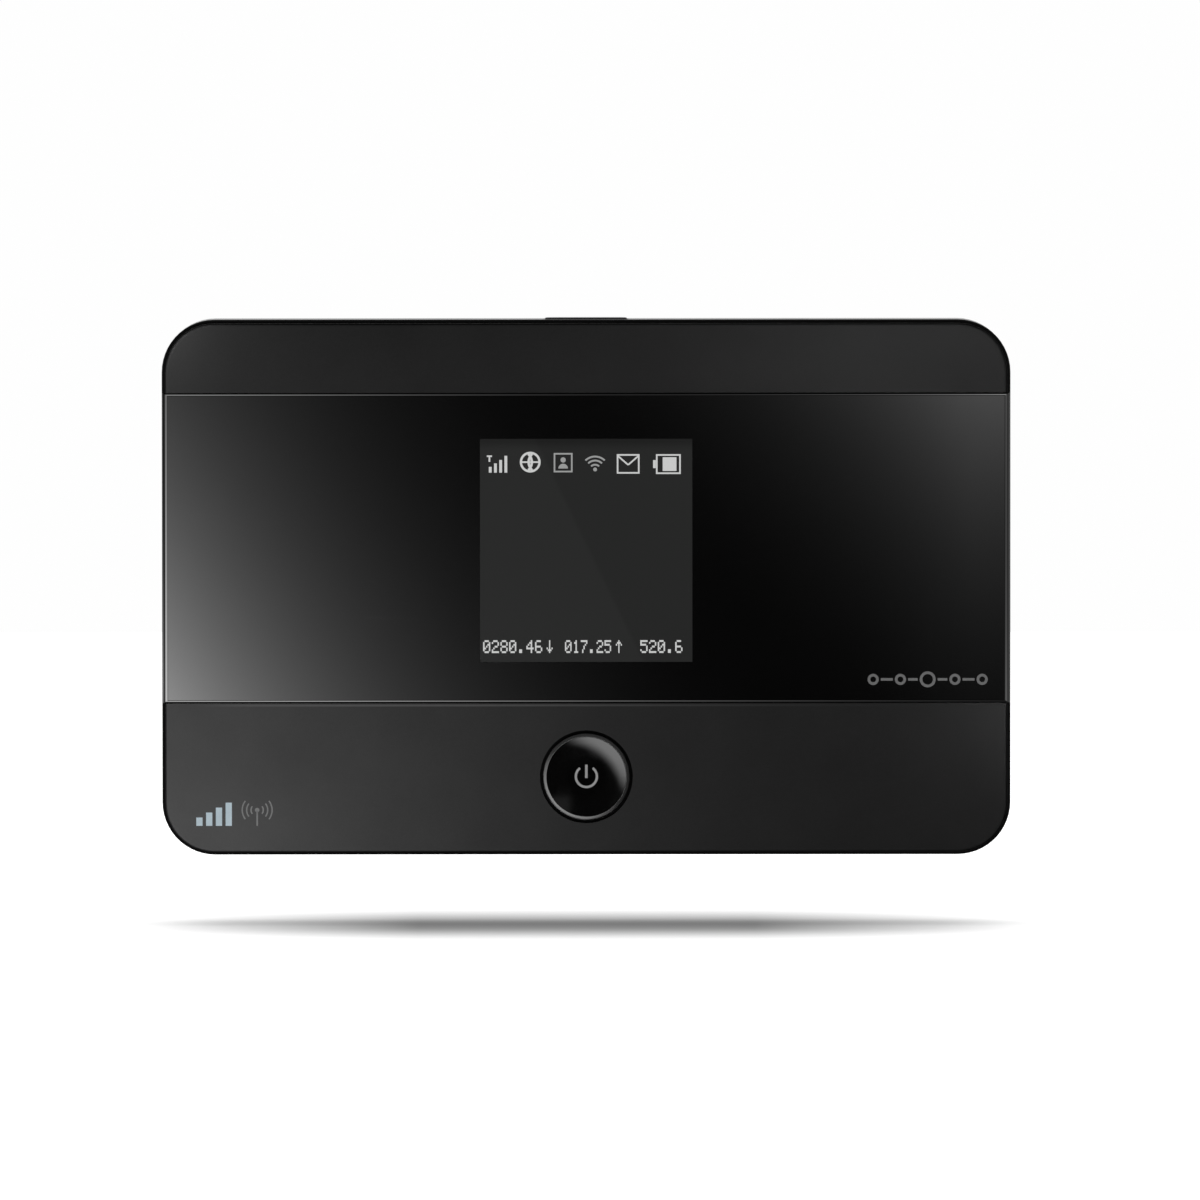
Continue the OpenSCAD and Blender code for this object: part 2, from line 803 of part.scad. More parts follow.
module battery_pads() {
    color("#d8b04a") for (y = contact_rows) block([battery_end - 0.29, battery_end - 0.02],
        [y - 0.9, y + 0.9], [contact_z - 1.35, contact_z + 1.35]);
}

module bay_label() {
    color("#e6e6e2") block([battery_x + 12, battery_x + 50],
        [body_h / 2 - 13, body_h / 2 + 13], [floor_z - 0.1, floor_z]);
}

// ---------------------------------------------------------------- antennas

antenna_y = [3.9, 7.6];
antenna_feed_y = [5.75, body_h - 5.75];
antenna_feed_x = [battery_x + 30, bay_x[1] - 14];
film_t = 0.15;

// A strip of film antenna on a deck, cut into a meander, with a tail to the board
module film_antenna(x, feed_x) {
    color("#a9743a") {
        difference() {
            block(x, antenna_y, [deck_z - film_t, deck_z]);
            for (i = [0:floor((x[1] - x[0] - 6) / 4)]) {
                y0 = i % 2 == 0 ? antenna_y[0] - past : antenna_y[0] + 0.9;
                block([x[0] + 2.6 + i * 4, x[0] + 3.2 + i * 4],
                    [y0, y0 + antenna_y[1] - antenna_y[0] + past - 0.9],
                    [deck_z - past, deck_z + past]);
            }
        }
        block([feed_x - 1.5, feed_x + 1.5], [antenna_feed_y[0] - film_t / 2,
            antenna_feed_y[0] + film_t / 2], [deck_z - 0.01, board_z - 0.75]);
    }
}

module on_upper_deck() {
    translate([0, body_h, 0]) mirror([0, 1, 0]) children();
}

module main_antenna() {
    film_antenna([battery_x + 3, battery_end - 2], antenna_feed_x[0]);
}

module diversity_antenna() {
    on_upper_deck() film_antenna([battery_x + 3, battery_end - 2], antenna_feed_x[0]);
}

module wifi_antennas() {
    wifi_x = [boss_mid_x + 4, body_w / 2 - 10.4];
    film_antenna(wifi_x, antenna_feed_x[1]);
    on_upper_deck() film_antenna(wifi_x, antenna_feed_x[1]);
}

// Sprung clips on the back of the board that meet the antenna tails
module antenna_clips() {
    color("#d8b04a") for (x = antenna_feed_x, y = antenna_feed_y)
        block([x - 1.4, x + 1.4], [y - 0.6, y + 0.6], [board_z - 0.72, board_z]);
}

// ---------------------------------------------------------------- buttons

// Dished power button with a chamfered edge, a flange behind the face and a stem
module power_button_cap() {
    color("#0b0b0c") translate([0, power_y, 0]) rotate_extrude() difference() {
        polygon([[0, power_plunger_top], [power_stem_r, power_plunger_top],
            [power_stem_r, power_flange[0]], [power_flange_r, power_flange[0]],
            [power_flange_r, power_flange[1]], [power_r, power_flange[1]],
            [power_r, power_top - 0.3], [dish_edge, power_top], [0, power_top]]);
        translate([0, power_top - dish_depth + dish_r]) circle(dish_r, $fn = 360);
    }
}

module power_switch_base() {
    color("#2b2c30") difference() {
        block([-2.6, 2.6], [power_y - 2.6, power_y + 2.6],
            [board_top, board_top + switch_h]);
        translate([0, power_y, board_top + 0.75]) cylinder(r = 1.25, h = switch_h);
    }
}

module power_switch_plunger() {
    z = board_top + 0.75 + power_travel + 0.05;
    color("#6e7074") translate([0, power_y, z])
        cylinder(r = 1.2, h = power_plunger_top - z);
}

// Menu button on the upper edge: a pill with a flange behind the rim and a stem
module menu_button_cap() {
    color("#0e0e0f") {
        translate([0, menu_flange_y[1] - fuse, menu_z]) rotate([-90, 0, 0])
            soft_pill(menu_w, menu_h, body_h + menu_proud - menu_flange_y[1] + fuse,
                menu_round);
        translate([0, menu_flange_y[0], menu_z]) rotate([-90, 0, 0])
            soft_pill(menu_w + 1.4, menu_h + 1.2, menu_flange_y[1] - menu_flange_y[0], 0);
        translate([0, menu_stem_y, menu_z]) rotate([-90, 0, 0])
            cylinder(r = 0.8, h = menu_flange_y[0] - menu_stem_y + fuse);
    }
}

module menu_switch_base() {
    color("#2b2c30") difference() {
        block([-2.3, 2.3], menu_switch_y, [board_top, board_top + switch_h]);
        translate([0, menu_switch_y[1] - 1.2, menu_z]) rotate([-90, 0, 0])
            cylinder(r = 0.7, h = 3);
    }
}

module menu_switch_plunger() {
    y = menu_switch_y[1] - 1.2 + menu_travel + 0.05;
    color("#6e7074") translate([0, y, menu_z]) rotate([-90, 0, 0])
        cylinder(r = 0.65, h = menu_stem_y - y);
}

module reset_switch_base() {
    color("#2b2c30") difference() {
        block([reset_x - 1.6, reset_x + 1.6], [reset_y - 1.6, reset_y + 1.6],
            [board_z - 1.1, board_z]);
        translate([reset_x, reset_y, board_z - 1.1 - past]) cylinder(r = 0.65, h = past + 0.6);
    }
}

module reset_plunger() {
    z = floor_z - 0.65;
    color("#c8c8c8") translate([reset_x, reset_y, z])
        cylinder(r = 0.6, h = board_z - 0.5 - reset_travel - 0.05 - z);
}

// ---------------------------------------------------------------- parts

upright() front_casing();
upright() display_lens();
upright() lens_adhesive();
upright() display_gasket();
upright() display_polariser();
upright() display_cell();
upright() display_driver_chip();
upright() display_backlight();
upright() display_flex();
upright() display_connector();
upright() rim_frame();
upright() chassis();
upright() main_board();
upright() modem_shield();
upright() radio_shield();
upright() wifi_shield();
upright() modem_chip();
upright() memory_chip();
upright() power_chip();
upright() radio_chips();
upright() wifi_chip();
upright() oscillator();
upright() board_passives();
upright() thermal_pad();
upright() usb_shell();
upright() usb_tongue();
upright() sim_socket_base();
upright() sim_socket_shell();
upright() card_socket_base();
upright() card_socket_shell();
upright() battery_connector();
upright() battery_springs();
upright() main_antenna();
upright() diversity_antenna();
upright() wifi_antennas();
upright() antenna_clips();
upright() radio_test_sockets();
upright() power_switch_base();
upright() menu_switch_base();
upright() reset_switch_base();
upright() case_screws();
upright() bay_label();
upright() power_button_cap();
upright() power_switch_plunger();
upright() menu_button_cap();
upright() menu_switch_plunger();
upright() reset_plunger();
upright() battery_cover();
upright() battery_cell();
upright() battery_contact_cap();
upright() battery_end_cap();
upright() battery_pads();
upright() sim_card();
upright() sim_card_pads();
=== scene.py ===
"""A pocket mobile hotspot on a pale studio floor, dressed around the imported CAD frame."""
import math

import bmesh
import bpy
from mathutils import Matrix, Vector


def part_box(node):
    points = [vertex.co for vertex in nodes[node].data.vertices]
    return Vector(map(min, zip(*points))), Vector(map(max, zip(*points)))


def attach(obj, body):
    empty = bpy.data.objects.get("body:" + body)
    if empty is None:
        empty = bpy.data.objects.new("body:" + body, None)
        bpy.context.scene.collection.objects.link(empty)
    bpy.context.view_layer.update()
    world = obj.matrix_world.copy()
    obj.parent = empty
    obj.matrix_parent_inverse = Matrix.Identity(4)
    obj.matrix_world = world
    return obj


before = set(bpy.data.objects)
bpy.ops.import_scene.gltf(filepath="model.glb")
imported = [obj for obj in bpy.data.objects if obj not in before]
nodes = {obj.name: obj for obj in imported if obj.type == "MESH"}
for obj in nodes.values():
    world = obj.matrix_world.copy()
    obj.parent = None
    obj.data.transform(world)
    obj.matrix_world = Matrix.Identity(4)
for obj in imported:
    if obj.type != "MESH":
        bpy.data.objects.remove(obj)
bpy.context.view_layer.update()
MM = 0.001
scene = bpy.context.scene


def mm_box(node):
    """A CAD node's lowest and highest corners in millimetres."""
    low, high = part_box(node)
    return low / MM, high / MM


# ------------------------------------------------------------------ node helpers


class Value:
    """A number in a shader's node tree; Python's operators on it add Math nodes."""

    def __init__(self, tree, socket):
        self.tree = tree
        self.socket = socket

    def op(self, operation, *others):
        node = self.tree.nodes.new("ShaderNodeMath")
        node.operation = operation
        for slot, item in zip(node.inputs, (self,) + others):
            if isinstance(item, Value):
                self.tree.links.new(item.socket, slot)
            else:
                slot.default_value = item
        return Value(self.tree, node.outputs[0])

    def __add__(self, other):
        return self.op("ADD", other)

    __radd__ = __add__

    def __sub__(self, other):
        return self.op("SUBTRACT", other)

    def __rsub__(self, other):
        return (self * -1.0).op("ADD", other)

    def __mul__(self, other):
        return self.op("MULTIPLY", other)

    __rmul__ = __mul__

    def __truediv__(self, other):
        return self.op("DIVIDE", other)

    def __neg__(self):
        return self * -1.0

    def abs(self):
        return self.op("ABSOLUTE")

    def exp(self):
        return self.op("EXPONENT")

    def low(self, other):
        return self.op("MINIMUM", other)

    def high(self, other):
        return self.op("MAXIMUM", other)

    def ramp(self, start, end):
        """0 at start and before it, 1 at end and past it, with a smooth change between."""
        node = self.tree.nodes.new("ShaderNodeMapRange")
        node.interpolation_type = "SMOOTHSTEP"
        if start > end:
            node.inputs["From Min"].default_value = end
            node.inputs["From Max"].default_value = start
            node.inputs["To Min"].default_value = 1.0
            node.inputs["To Max"].default_value = 0.0
        else:
            node.inputs["From Min"].default_value = start
            node.inputs["From Max"].default_value = end
        self.tree.links.new(self.socket, node.inputs["Value"])
        return Value(self.tree, node.outputs["Result"])


class Shader:
    """A node tree with short calls for the nodes that the finishes share."""

    def __init__(self, owner):
        owner.use_nodes = True
        self.owner = owner
        self.tree = owner.node_tree
        self.tree.nodes.clear()

    def put(self, slot, item):
        if isinstance(item, Value):
            self.tree.links.new(item.socket, slot)
        elif isinstance(item, bpy.types.NodeSocket):
            self.tree.links.new(item, slot)
        elif item is not None:
            slot.default_value = item

    def add(self, kind, output=0, inputs=None, **settings):
        node = self.tree.nodes.new("ShaderNode" + kind)
        for name, value in settings.items():
            setattr(node, name, value)
        for name, item in (inputs or {}).items():
            self.put(node.inputs[name], item)
        return node.outputs[output]

    def value(self, kind, output=0, inputs=None, **settings):
        return Value(self.tree, self.add(kind, output, inputs, **settings))

    def place(self):
        """The point's place in the frame, in millimetres, as a vector."""
        point = self.add("TexCoord", "Object")
        return self.add("VectorMath", 0, {0: point, "Scale": 1 / MM}, operation="SCALE")

    def axes(self, vector=None):
        split = self.add("SeparateXYZ", 0, {0: vector or self.place()}).node
        return [Value(self.tree, out) for out in split.outputs]

    def noise(self, size, detail=2.0, stretch=(1, 1, 1), seed=0.0):
        """Smooth noise around 0.5 with features about size millimetres wide."""
        place = self.add("Mapping", 0, {"Vector": self.place(), "Scale": stretch,
                                        "Location": (seed, seed * 1.7, -seed)})
        return self.value("TexNoise", "Fac", {"Vector": place, "Scale": 1 / size,
                                              "Detail": detail, "Roughness": 0.5})

    def cells(self, size, output="Distance"):
        """Cells about size millimetres wide: the distance to their points, or a colour."""
        return self.value("TexVoronoi", output, {"Vector": self.place(), "Scale": 1 / size},
                          feature="F1")

    def mix(self, amount, first, second):
        """Colour first at 0 and second at 1."""
        node = self.tree.nodes.new("ShaderNodeMix")
        node.data_type = "RGBA"
        self.put(node.inputs["Factor"], amount)
        self.put(node.inputs[6], first)
        self.put(node.inputs[7], second)
        return node.outputs[2]

    def bump(self, height, depth):
        return self.add("Bump", 0, {"Height": height, "Distance": depth * MM,
                                    "Strength": 1.0})

    def edges(self, width):
        """Near 1 on edges of the solid about width millimetres wide, 0 on flat faces."""
        soft = self.add("Bevel", 0, {"Radius": width * MM}, samples=6)
        true = self.add("NewGeometry", "Normal")
        dot = self.value("VectorMath", "Value", {0: soft, 1: true}, operation="DOT_PRODUCT")
        return dot.ramp(0.995, 0.8)

    def surface(self, color, roughness, normal=None, **more):
        inputs = {"Base Color": color, "Roughness": roughness, "Normal": normal}
        inputs.update({name.replace("_", " "): item for name, item in more.items()})
        return self.add("BsdfPrincipled", 0, inputs)

    def finish(self, shader):
        kind = {"World": "OutputWorld", "Material": "OutputMaterial"}.get(
            self.owner.bl_rna.identifier, "OutputLight")
        output = self.tree.nodes.new("ShaderNode" + kind)
        self.tree.links.new(shader, output.inputs["Surface"])
        return self.owner


def grey(level, tint=(1.0, 1.0, 1.0)):
    return (level * tint[0], level * tint[1], level * tint[2], 1.0)


def scaled(color, share):
    """A colour multiplied by a share, and no brighter than white."""
    return tuple(min(1.0, c * share) for c in color[:3]) + (1.0,)


def start(name):
    return Shader(bpy.data.materials.new(name))


# ------------------------------------------------------------------ finishes


def moulded(name, level, rough, grain, depth, tint=(1, 1, 1), wear=0.0, spread=0.16,
            spec=0.5, turned=1.0):
    """Moulded plastic: cloudy colour, a fine spark-eroded grain and rubbed edges.

    turned is what is left of the colour and shine on faces turned away from the front: painted
    shade on those faces.
    """
    s = start(name)
    cloud = s.noise(9.0, 3.0)
    speck = s.noise(grain, 2.0, seed=3.0)
    tone = (cloud - 0.5) * spread + (speck - 0.5) * spread * 1.4 + 1.0
    color = s.add("VectorMath", 0, {0: grey(level, tint)[:3], "Scale": tone}, operation="SCALE")
    roughness = (s.noise(4.0, 3.0, seed=5.0) - 0.5) * 0.14 + rough
    if wear:
        rub = s.edges(0.35) * s.noise(1.6, 3.0, seed=9.0).ramp(0.35, 0.75)
        color = s.mix(rub * wear, color, grey(level * 2.6 + 0.01, tint))
        roughness = roughness - rub * 0.12
    normal = s.bump(s.noise(grain * 1.6, 3.0, seed=7.0), depth)
    if turned < 1.0:
        # painted shade: faces turned away from the front keep only part of their colour and shine
        facing = -s.axes(s.add("NewGeometry", "Normal"))[1]
        painted_shade_share = facing.ramp(0.62, 0.93) * (1.0 - turned) + turned
        color = s.add("VectorMath", 0, {0: color, "Scale": painted_shade_share}, operation="SCALE")
        spec = painted_shade_share * spec
    return s.finish(s.surface(color, roughness, normal, Specular_IOR_Level=spec))


def glossy(name, level, rough=0.08, tint=(1, 1, 1), ripple=0.004, wear=0.0, turned=1.0):
    """Polished plastic: faint ripple, hairline scratches and a few smudges.

    turned is what is left of the shine on faces turned to the front or the back.
    """
    s = start(name)
    smudge = s.noise(7.0, 4.0, seed=2.0).ramp(0.52, 0.72)
    hair = s.noise(0.5, 2.0, stretch=(0.05, 1, 1), seed=4.0).ramp(0.66, 0.74)
    hair2 = s.noise(0.5, 2.0, stretch=(1, 1, 0.05), seed=6.0).ramp(0.67, 0.75)
    roughness = smudge * 0.05 + (hair + hair2) * 0.06 + rough
    color = s.mix(smudge * 0.5, grey(level, tint), grey(level * 1.5, tint))
    if wear:
        rub = s.edges(0.25) * s.noise(2.2, 3.0, seed=8.0).ramp(0.4, 0.8)
        color = s.mix(rub * wear, color, grey(level * 3 + 0.02, tint))
        roughness = roughness + rub * 0.1
    normal = s.bump(s.noise(5.0, 2.0, seed=1.0), ripple)
    facing = s.axes(s.add("NewGeometry", "Normal"))[1].abs()
    shine = facing.ramp(0.30, 0.08) * (1.0 - turned) + turned
    return s.finish(s.surface(color, roughness, normal, Specular_IOR_Level=shine * 0.5))


def button_cap(name, centre_z, dish_edge, face):
    """Polished black dish inside a bright cut chamfer."""
    s = start(name)
    x, y, z = s.axes()
    reach = (x * x + (z - centre_z) * (z - centre_z)).op("SQRT")
    cut = reach.ramp(dish_edge + 0.04, dish_edge + 0.08) * y.ramp(face + 0.42, face + 0.36)
    smudge = s.noise(3.0, 4.0, seed=2.0).ramp(0.5, 0.72)
    color = s.mix(smudge * 0.5, grey(0.0012), grey(0.0024))
    color = s.mix(cut, color, grey(0.80))
    roughness = smudge * 0.05 + 0.09 + cut * 0.12
    normal = s.bump(s.noise(4.0, 2.0, seed=1.0), 0.003)
    shine = y.ramp(face + 0.60, face + 0.50) * 0.47 + 0.03
    return s.finish(s.surface(color, roughness, normal, Metallic=cut,
                              Specular_IOR_Level=shine))


def metal(name, color, rough, streak=(0.08, 1, 1), scale=0.35, dull=0.35, depth=0.003):
    """Sheet or turned metal: rolled streaks, cloudy tarnish and a fine bump."""
    s = start(name)
    roll = s.noise(scale, 3.0, stretch=streak, seed=2.0)
    cloud = s.noise(3.5, 4.0, seed=5.0).ramp(0.4, 0.75)
    base = s.mix(cloud * dull, color, scaled(color, 0.55))
    base = s.mix((roll - 0.5).abs() * 0.8, base, scaled(color, 1.25))
    roughness = roll * 0.18 + cloud * 0.14 + rough
    normal = s.bump(roll, depth)
    return s.finish(s.surface(base, roughness, normal, Metallic=1.0))


def circuit_board(name):
    """Solder mask over copper tracks, with plated holes; all of it from patterns."""
    s = start(name)
    x, _, z = s.axes()
    lane = s.cells(2.6, "Color")
    pick = s.axes(lane.socket)[0]
    diagonal = (x + z) * math.sqrt(0.5)

    def tracks(axis, pitch, width):
        wave = (axis / pitch).op("FRACT") - 0.5
        return wave.abs().ramp(width, width * 0.55)

    flat = tracks(x, 0.62, 0.22)
    up = tracks(z, 0.62, 0.22)
    slant = tracks(diagonal, 0.7, 0.2)
    first = pick.ramp(0.36, 0.37)
    second = pick.ramp(0.70, 0.71)
    copper = flat * (1.0 - first) + up * (first - first * second) + slant * second
    holes = s.cells(1.9).ramp(0.13, 0.10)
    shade = s.noise(6.0, 3.0, seed=4.0)
    mask = s.mix(shade, (0.006, 0.045, 0.022, 1), (0.010, 0.066, 0.034, 1))
    color = s.mix(copper, mask, (0.020, 0.115, 0.055, 1))
    color = s.mix(holes, color, (0.55, 0.40, 0.14, 1))
    roughness = holes * 0.1 + (s.noise(0.4, 2.0, seed=8.0) - 0.5) * 0.1 + 0.32
    normal = s.bump(copper * 0.5 + holes, 0.02)
    return s.finish(s.surface(color, roughness, normal, Metallic=holes))


def film(name, color, dark, pitch, metallic=0.0):
    """A flexible film with fine conductors running up it."""
    s = start(name)
    x, _, z = s.axes()
    line = ((x / pitch).op("FRACT") - 0.5).abs().ramp(0.2, 0.12)
    cloud = s.noise(2.5, 3.0)
    base = s.mix(cloud, color, scaled(color, 0.8))
    base = s.mix(line * 0.7, base, dark)
    normal = s.bump(line + s.noise(1.2, 2.0, seed=6.0) * 0.4, 0.01)
    return s.finish(s.surface(base, cloud * 0.1 + 0.3, normal, Metallic=metallic))


def paper(name, color):
    """A printed label: paper fibre under a thin satin film."""
    s = start(name)
    fibre = s.noise(0.25, 4.0, stretch=(0.3, 1, 1), seed=3.0)
    cloud = s.noise(6.0, 3.0)
    base = s.mix(cloud * 0.4, color, scaled(color, 0.9))
    base = s.mix((fibre - 0.5).abs() * 0.6, base, scaled(color, 0.8))
    return s.finish(s.surface(base, fibre * 0.2 + 0.35, s.bump(fibre, 0.006)))


def foam(name, level):
    """Die-cut foam tape with open cells."""
    s = start(name)
    pores = s.cells(0.22)
    base = s.mix(pores.ramp(0.0, 0.6), grey(level * 0.4), grey(level * 1.3))
    tone = s.noise(3.0, 2.0)
    return s.finish(s.surface(base, tone * 0.1 + 0.85, s.bump(pores, 0.05)))


def chip_top(name, level, tint=(1, 1, 1)):
    """Moulded epoxy with a laser-dulled field and a fine matte grain."""
    s = start(name)
    speck = s.noise(0.12, 2.0)
    cloud = s.noise(3.0, 3.0, seed=4.0)
    tone = (speck - 0.5) * 0.5 + (cloud - 0.5) * 0.2 + 1.0
    base = s.add("VectorMath", 0, {0: grey(level, tint)[:3], "Scale": tone}, operation="SCALE")
    return s.finish(s.surface(base, (cloud - 0.5) * 0.15 + 0.55, s.bump(speck, 0.012)))


def ceramic(name):
    """Rows of small ceramic parts: fired body in the middle, tinned ends."""
    s = start(name)
    x, _, z = s.axes()
    speck = s.noise(0.15, 2.0)
    tone = s.noise(1.8, 1.0, seed=7.0).ramp(0.35, 0.65)
    body = s.mix(tone, (0.30, 0.19, 0.10, 1), (0.10, 0.075, 0.06, 1))
    body = s.mix(speck * 0.4, body, (0.42, 0.30, 0.19, 1))
    ends = ((x / 0.8).op("FRACT") - 0.5).abs().ramp(0.24, 0.34) * z.ramp(0.0, 1.0)
    color = s.mix(ends, body, (0.62, 0.62, 0.60, 1))
    return s.finish(s.surface(color, 0.45 - ends * 0.15, s.bump(speck, 0.008),
                              Metallic=ends * 0.9))


def battery_wrap(name):
    """Dark printed film over the cell: satin, a little wrinkled, rubbed at its edges."""
    s = start(name)
    cloud = s.noise(12.0, 3.0)
    wrinkle = s.noise(2.6, 4.0, stretch=(1, 1, 0.35), seed=3.0)
    rub = s.edges(0.5) * s.noise(1.2, 3.0, seed=6.0).ramp(0.4, 0.7)
    base = s.mix(cloud, grey(0.022), grey(0.032))
    base = s.mix(rub * 0.7, base, grey(0.16))
    roughness = (s.noise(5.0, 3.0, seed=8.0) - 0.5) * 0.2 + 0.36
    return s.finish(s.surface(base, roughness, s.bump(wrinkle, 0.03)))


def display_glass(name):
    """Thin glass with a faint cell gap line and a green-grey edge."""
    s = start(name)
    cloud = s.noise(4.0, 2.0)
    base = s.mix(cloud, (0.030, 0.036, 0.036, 1), (0.045, 0.052, 0.050, 1))
    base = s.mix(s.edges(0.2), base, (0.16, 0.21, 0.19, 1))
    return s.finish(s.surface(base, cloud * 0.05 + 0.06, s.bump(s.noise(3.0), 0.002)))


def polariser_film(name):
    """Smoked plastic film with a faint silk ripple."""
    s = start(name)
    silk = s.noise(0.6, 2.0, stretch=(0.15, 1, 1))
    base = s.mix(silk, grey(0.020), grey(0.028, (0.95, 1, 1.02)))
    return s.finish(s.surface(base, silk * 0.08 + 0.22, s.bump(silk, 0.002)))


def flat_print(name, level, tint=(1, 1, 1), glow=0.0):
    """Screen-printed ink: slightly uneven cover, with the dot texture of the mesh; glow paints
    light onto the ink as emission.
    """
    s = start(name)
    dots = s.cells(0.12)
    cloud = s.noise(1.5, 3.0)
    tone = (cloud - 0.5) * 0.18 + (dots - 0.4) * 0.09 + 1.0
    base = s.add("VectorMath", 0, {0: grey(level, tint)[:3], "Scale": tone}, operation="SCALE")
    more = {}
    # glow: painted light, an emission that brightens the ink whatever the lamps
    if glow:
        more = {"Emission_Color": base, "Emission_Strength": glow}
    return s.finish(s.surface(base, (cloud - 0.5) * 0.1 + 0.4, s.bump(dots, 0.003), **more))


# Window in the lens ink, a little inside the polariser's edges
lens_low = mm_box("display_lens")[0]
glass_low, glass_high = mm_box("display_polariser")
WINDOW_X = glass_high.x - 0.8
WINDOW_Z = (glass_low.z + 0.85, glass_high.z - 0.5)


def lens_panel(name):
    """Clear panel inked black behind, apart from the display window."""
    s = start(name)
    x, y, z = s.axes()
    middle_z = (WINDOW_Z[0] + WINDOW_Z[1]) / 2
    half_z = (WINDOW_Z[1] - WINDOW_Z[0]) / 2
    inside = x.abs().ramp(WINDOW_X + 0.02, WINDOW_X - 0.02)
    inside = inside * (z - middle_z).abs().ramp(half_z + 0.02, half_z - 0.02)
    smudge = s.noise(16.0, 4.0, seed=11.0).ramp(0.55, 0.8)
    hair = s.noise(0.35, 2.0, stretch=(0.03, 1, 1), seed=4.0).ramp(0.72, 0.78)
    roughness = smudge * 0.012 + hair * 0.02 + 0.018
    ink = s.mix(s.noise(5.0, 3.0), grey(0.0003), grey(0.0006))
    normal = s.bump(s.noise(22.0, 1.0, seed=13.0), 0.0004)
    black = s.surface(ink, roughness, normal)
    gloss = s.add("BsdfGlossy", 0, {"Color": grey(1.0), "Roughness": roughness,
                                    "Normal": normal})
    clear = s.add("BsdfTransparent", 0, {"Color": grey(0.97)})
    fresnel = s.value("Fresnel", 0, {"IOR": 1.45, "Normal": normal})
    front = y.ramp(lens_low.y + 0.62, lens_low.y + 0.58)
    window = s.add("MixShader", 0, {0: fresnel * front, 1: clear, 2: gloss})
    return s.finish(s.add("MixShader", 0, {0: inside, 1: black, 2: window}))


def picture_light(name):
    """The lit panel: a dark grey picture, lighter left of a slanting painted sheen, with painted
    shade to the lower left.
    """
    s = start(name)
    x, _, z = s.axes()
    # painted sheen: a slanting band of painted reflection in the picture's glow
    slope = (x + 3.75) + (z - 46.6) * 0.485
    painted_sheen = slope.ramp(0.35, -0.35)
    frame_dark = z.ramp(WINDOW_Z[1] - 0.2, WINDOW_Z[1] - 1.6) * 0.35 + 0.65
    grid = ((x / 0.2).op("FRACT") - 0.5).abs() * ((z / 0.2).op("FRACT") - 0.5).abs()
    # painted shade: the glow falls off towards the lower left, offsetting the lens's reflection
    # there
    dim = ((x + WINDOW_X) * -0.065).exp() * ((z - WINDOW_Z[0]) * -0.035).exp() * 0.0085
    level = painted_sheen * 0.0035 + 0.0225 - dim
    level = level * frame_dark * (grid * 0.3 + 0.96)
    color = s.add("CombineColor", 0, {0: level, 1: level * 1.02, 2: level * 1.0})
    glow = s.add("Emission", 0, {"Color": color, "Strength": 1.0})
    return s.finish(glow)


def lit_ink(name, level, tint=(1, 1, 1)):
    """A lit pixel field for the signs on the display."""
    s = start(name)
    x, _, z = s.axes()
    cell = ((x / 0.1).op("FRACT") - 0.5).abs().high(((z / 0.1).op("FRACT") - 0.5).abs())
    tone = cell.ramp(0.5, 0.4) * 0.18 + 0.82
    color = s.add("VectorMath", 0, {0: grey(level, tint)[:3], "Scale": tone}, operation="SCALE")
    return s.finish(s.add("Emission", 0, {"Color": color, "Strength": 1.0}))


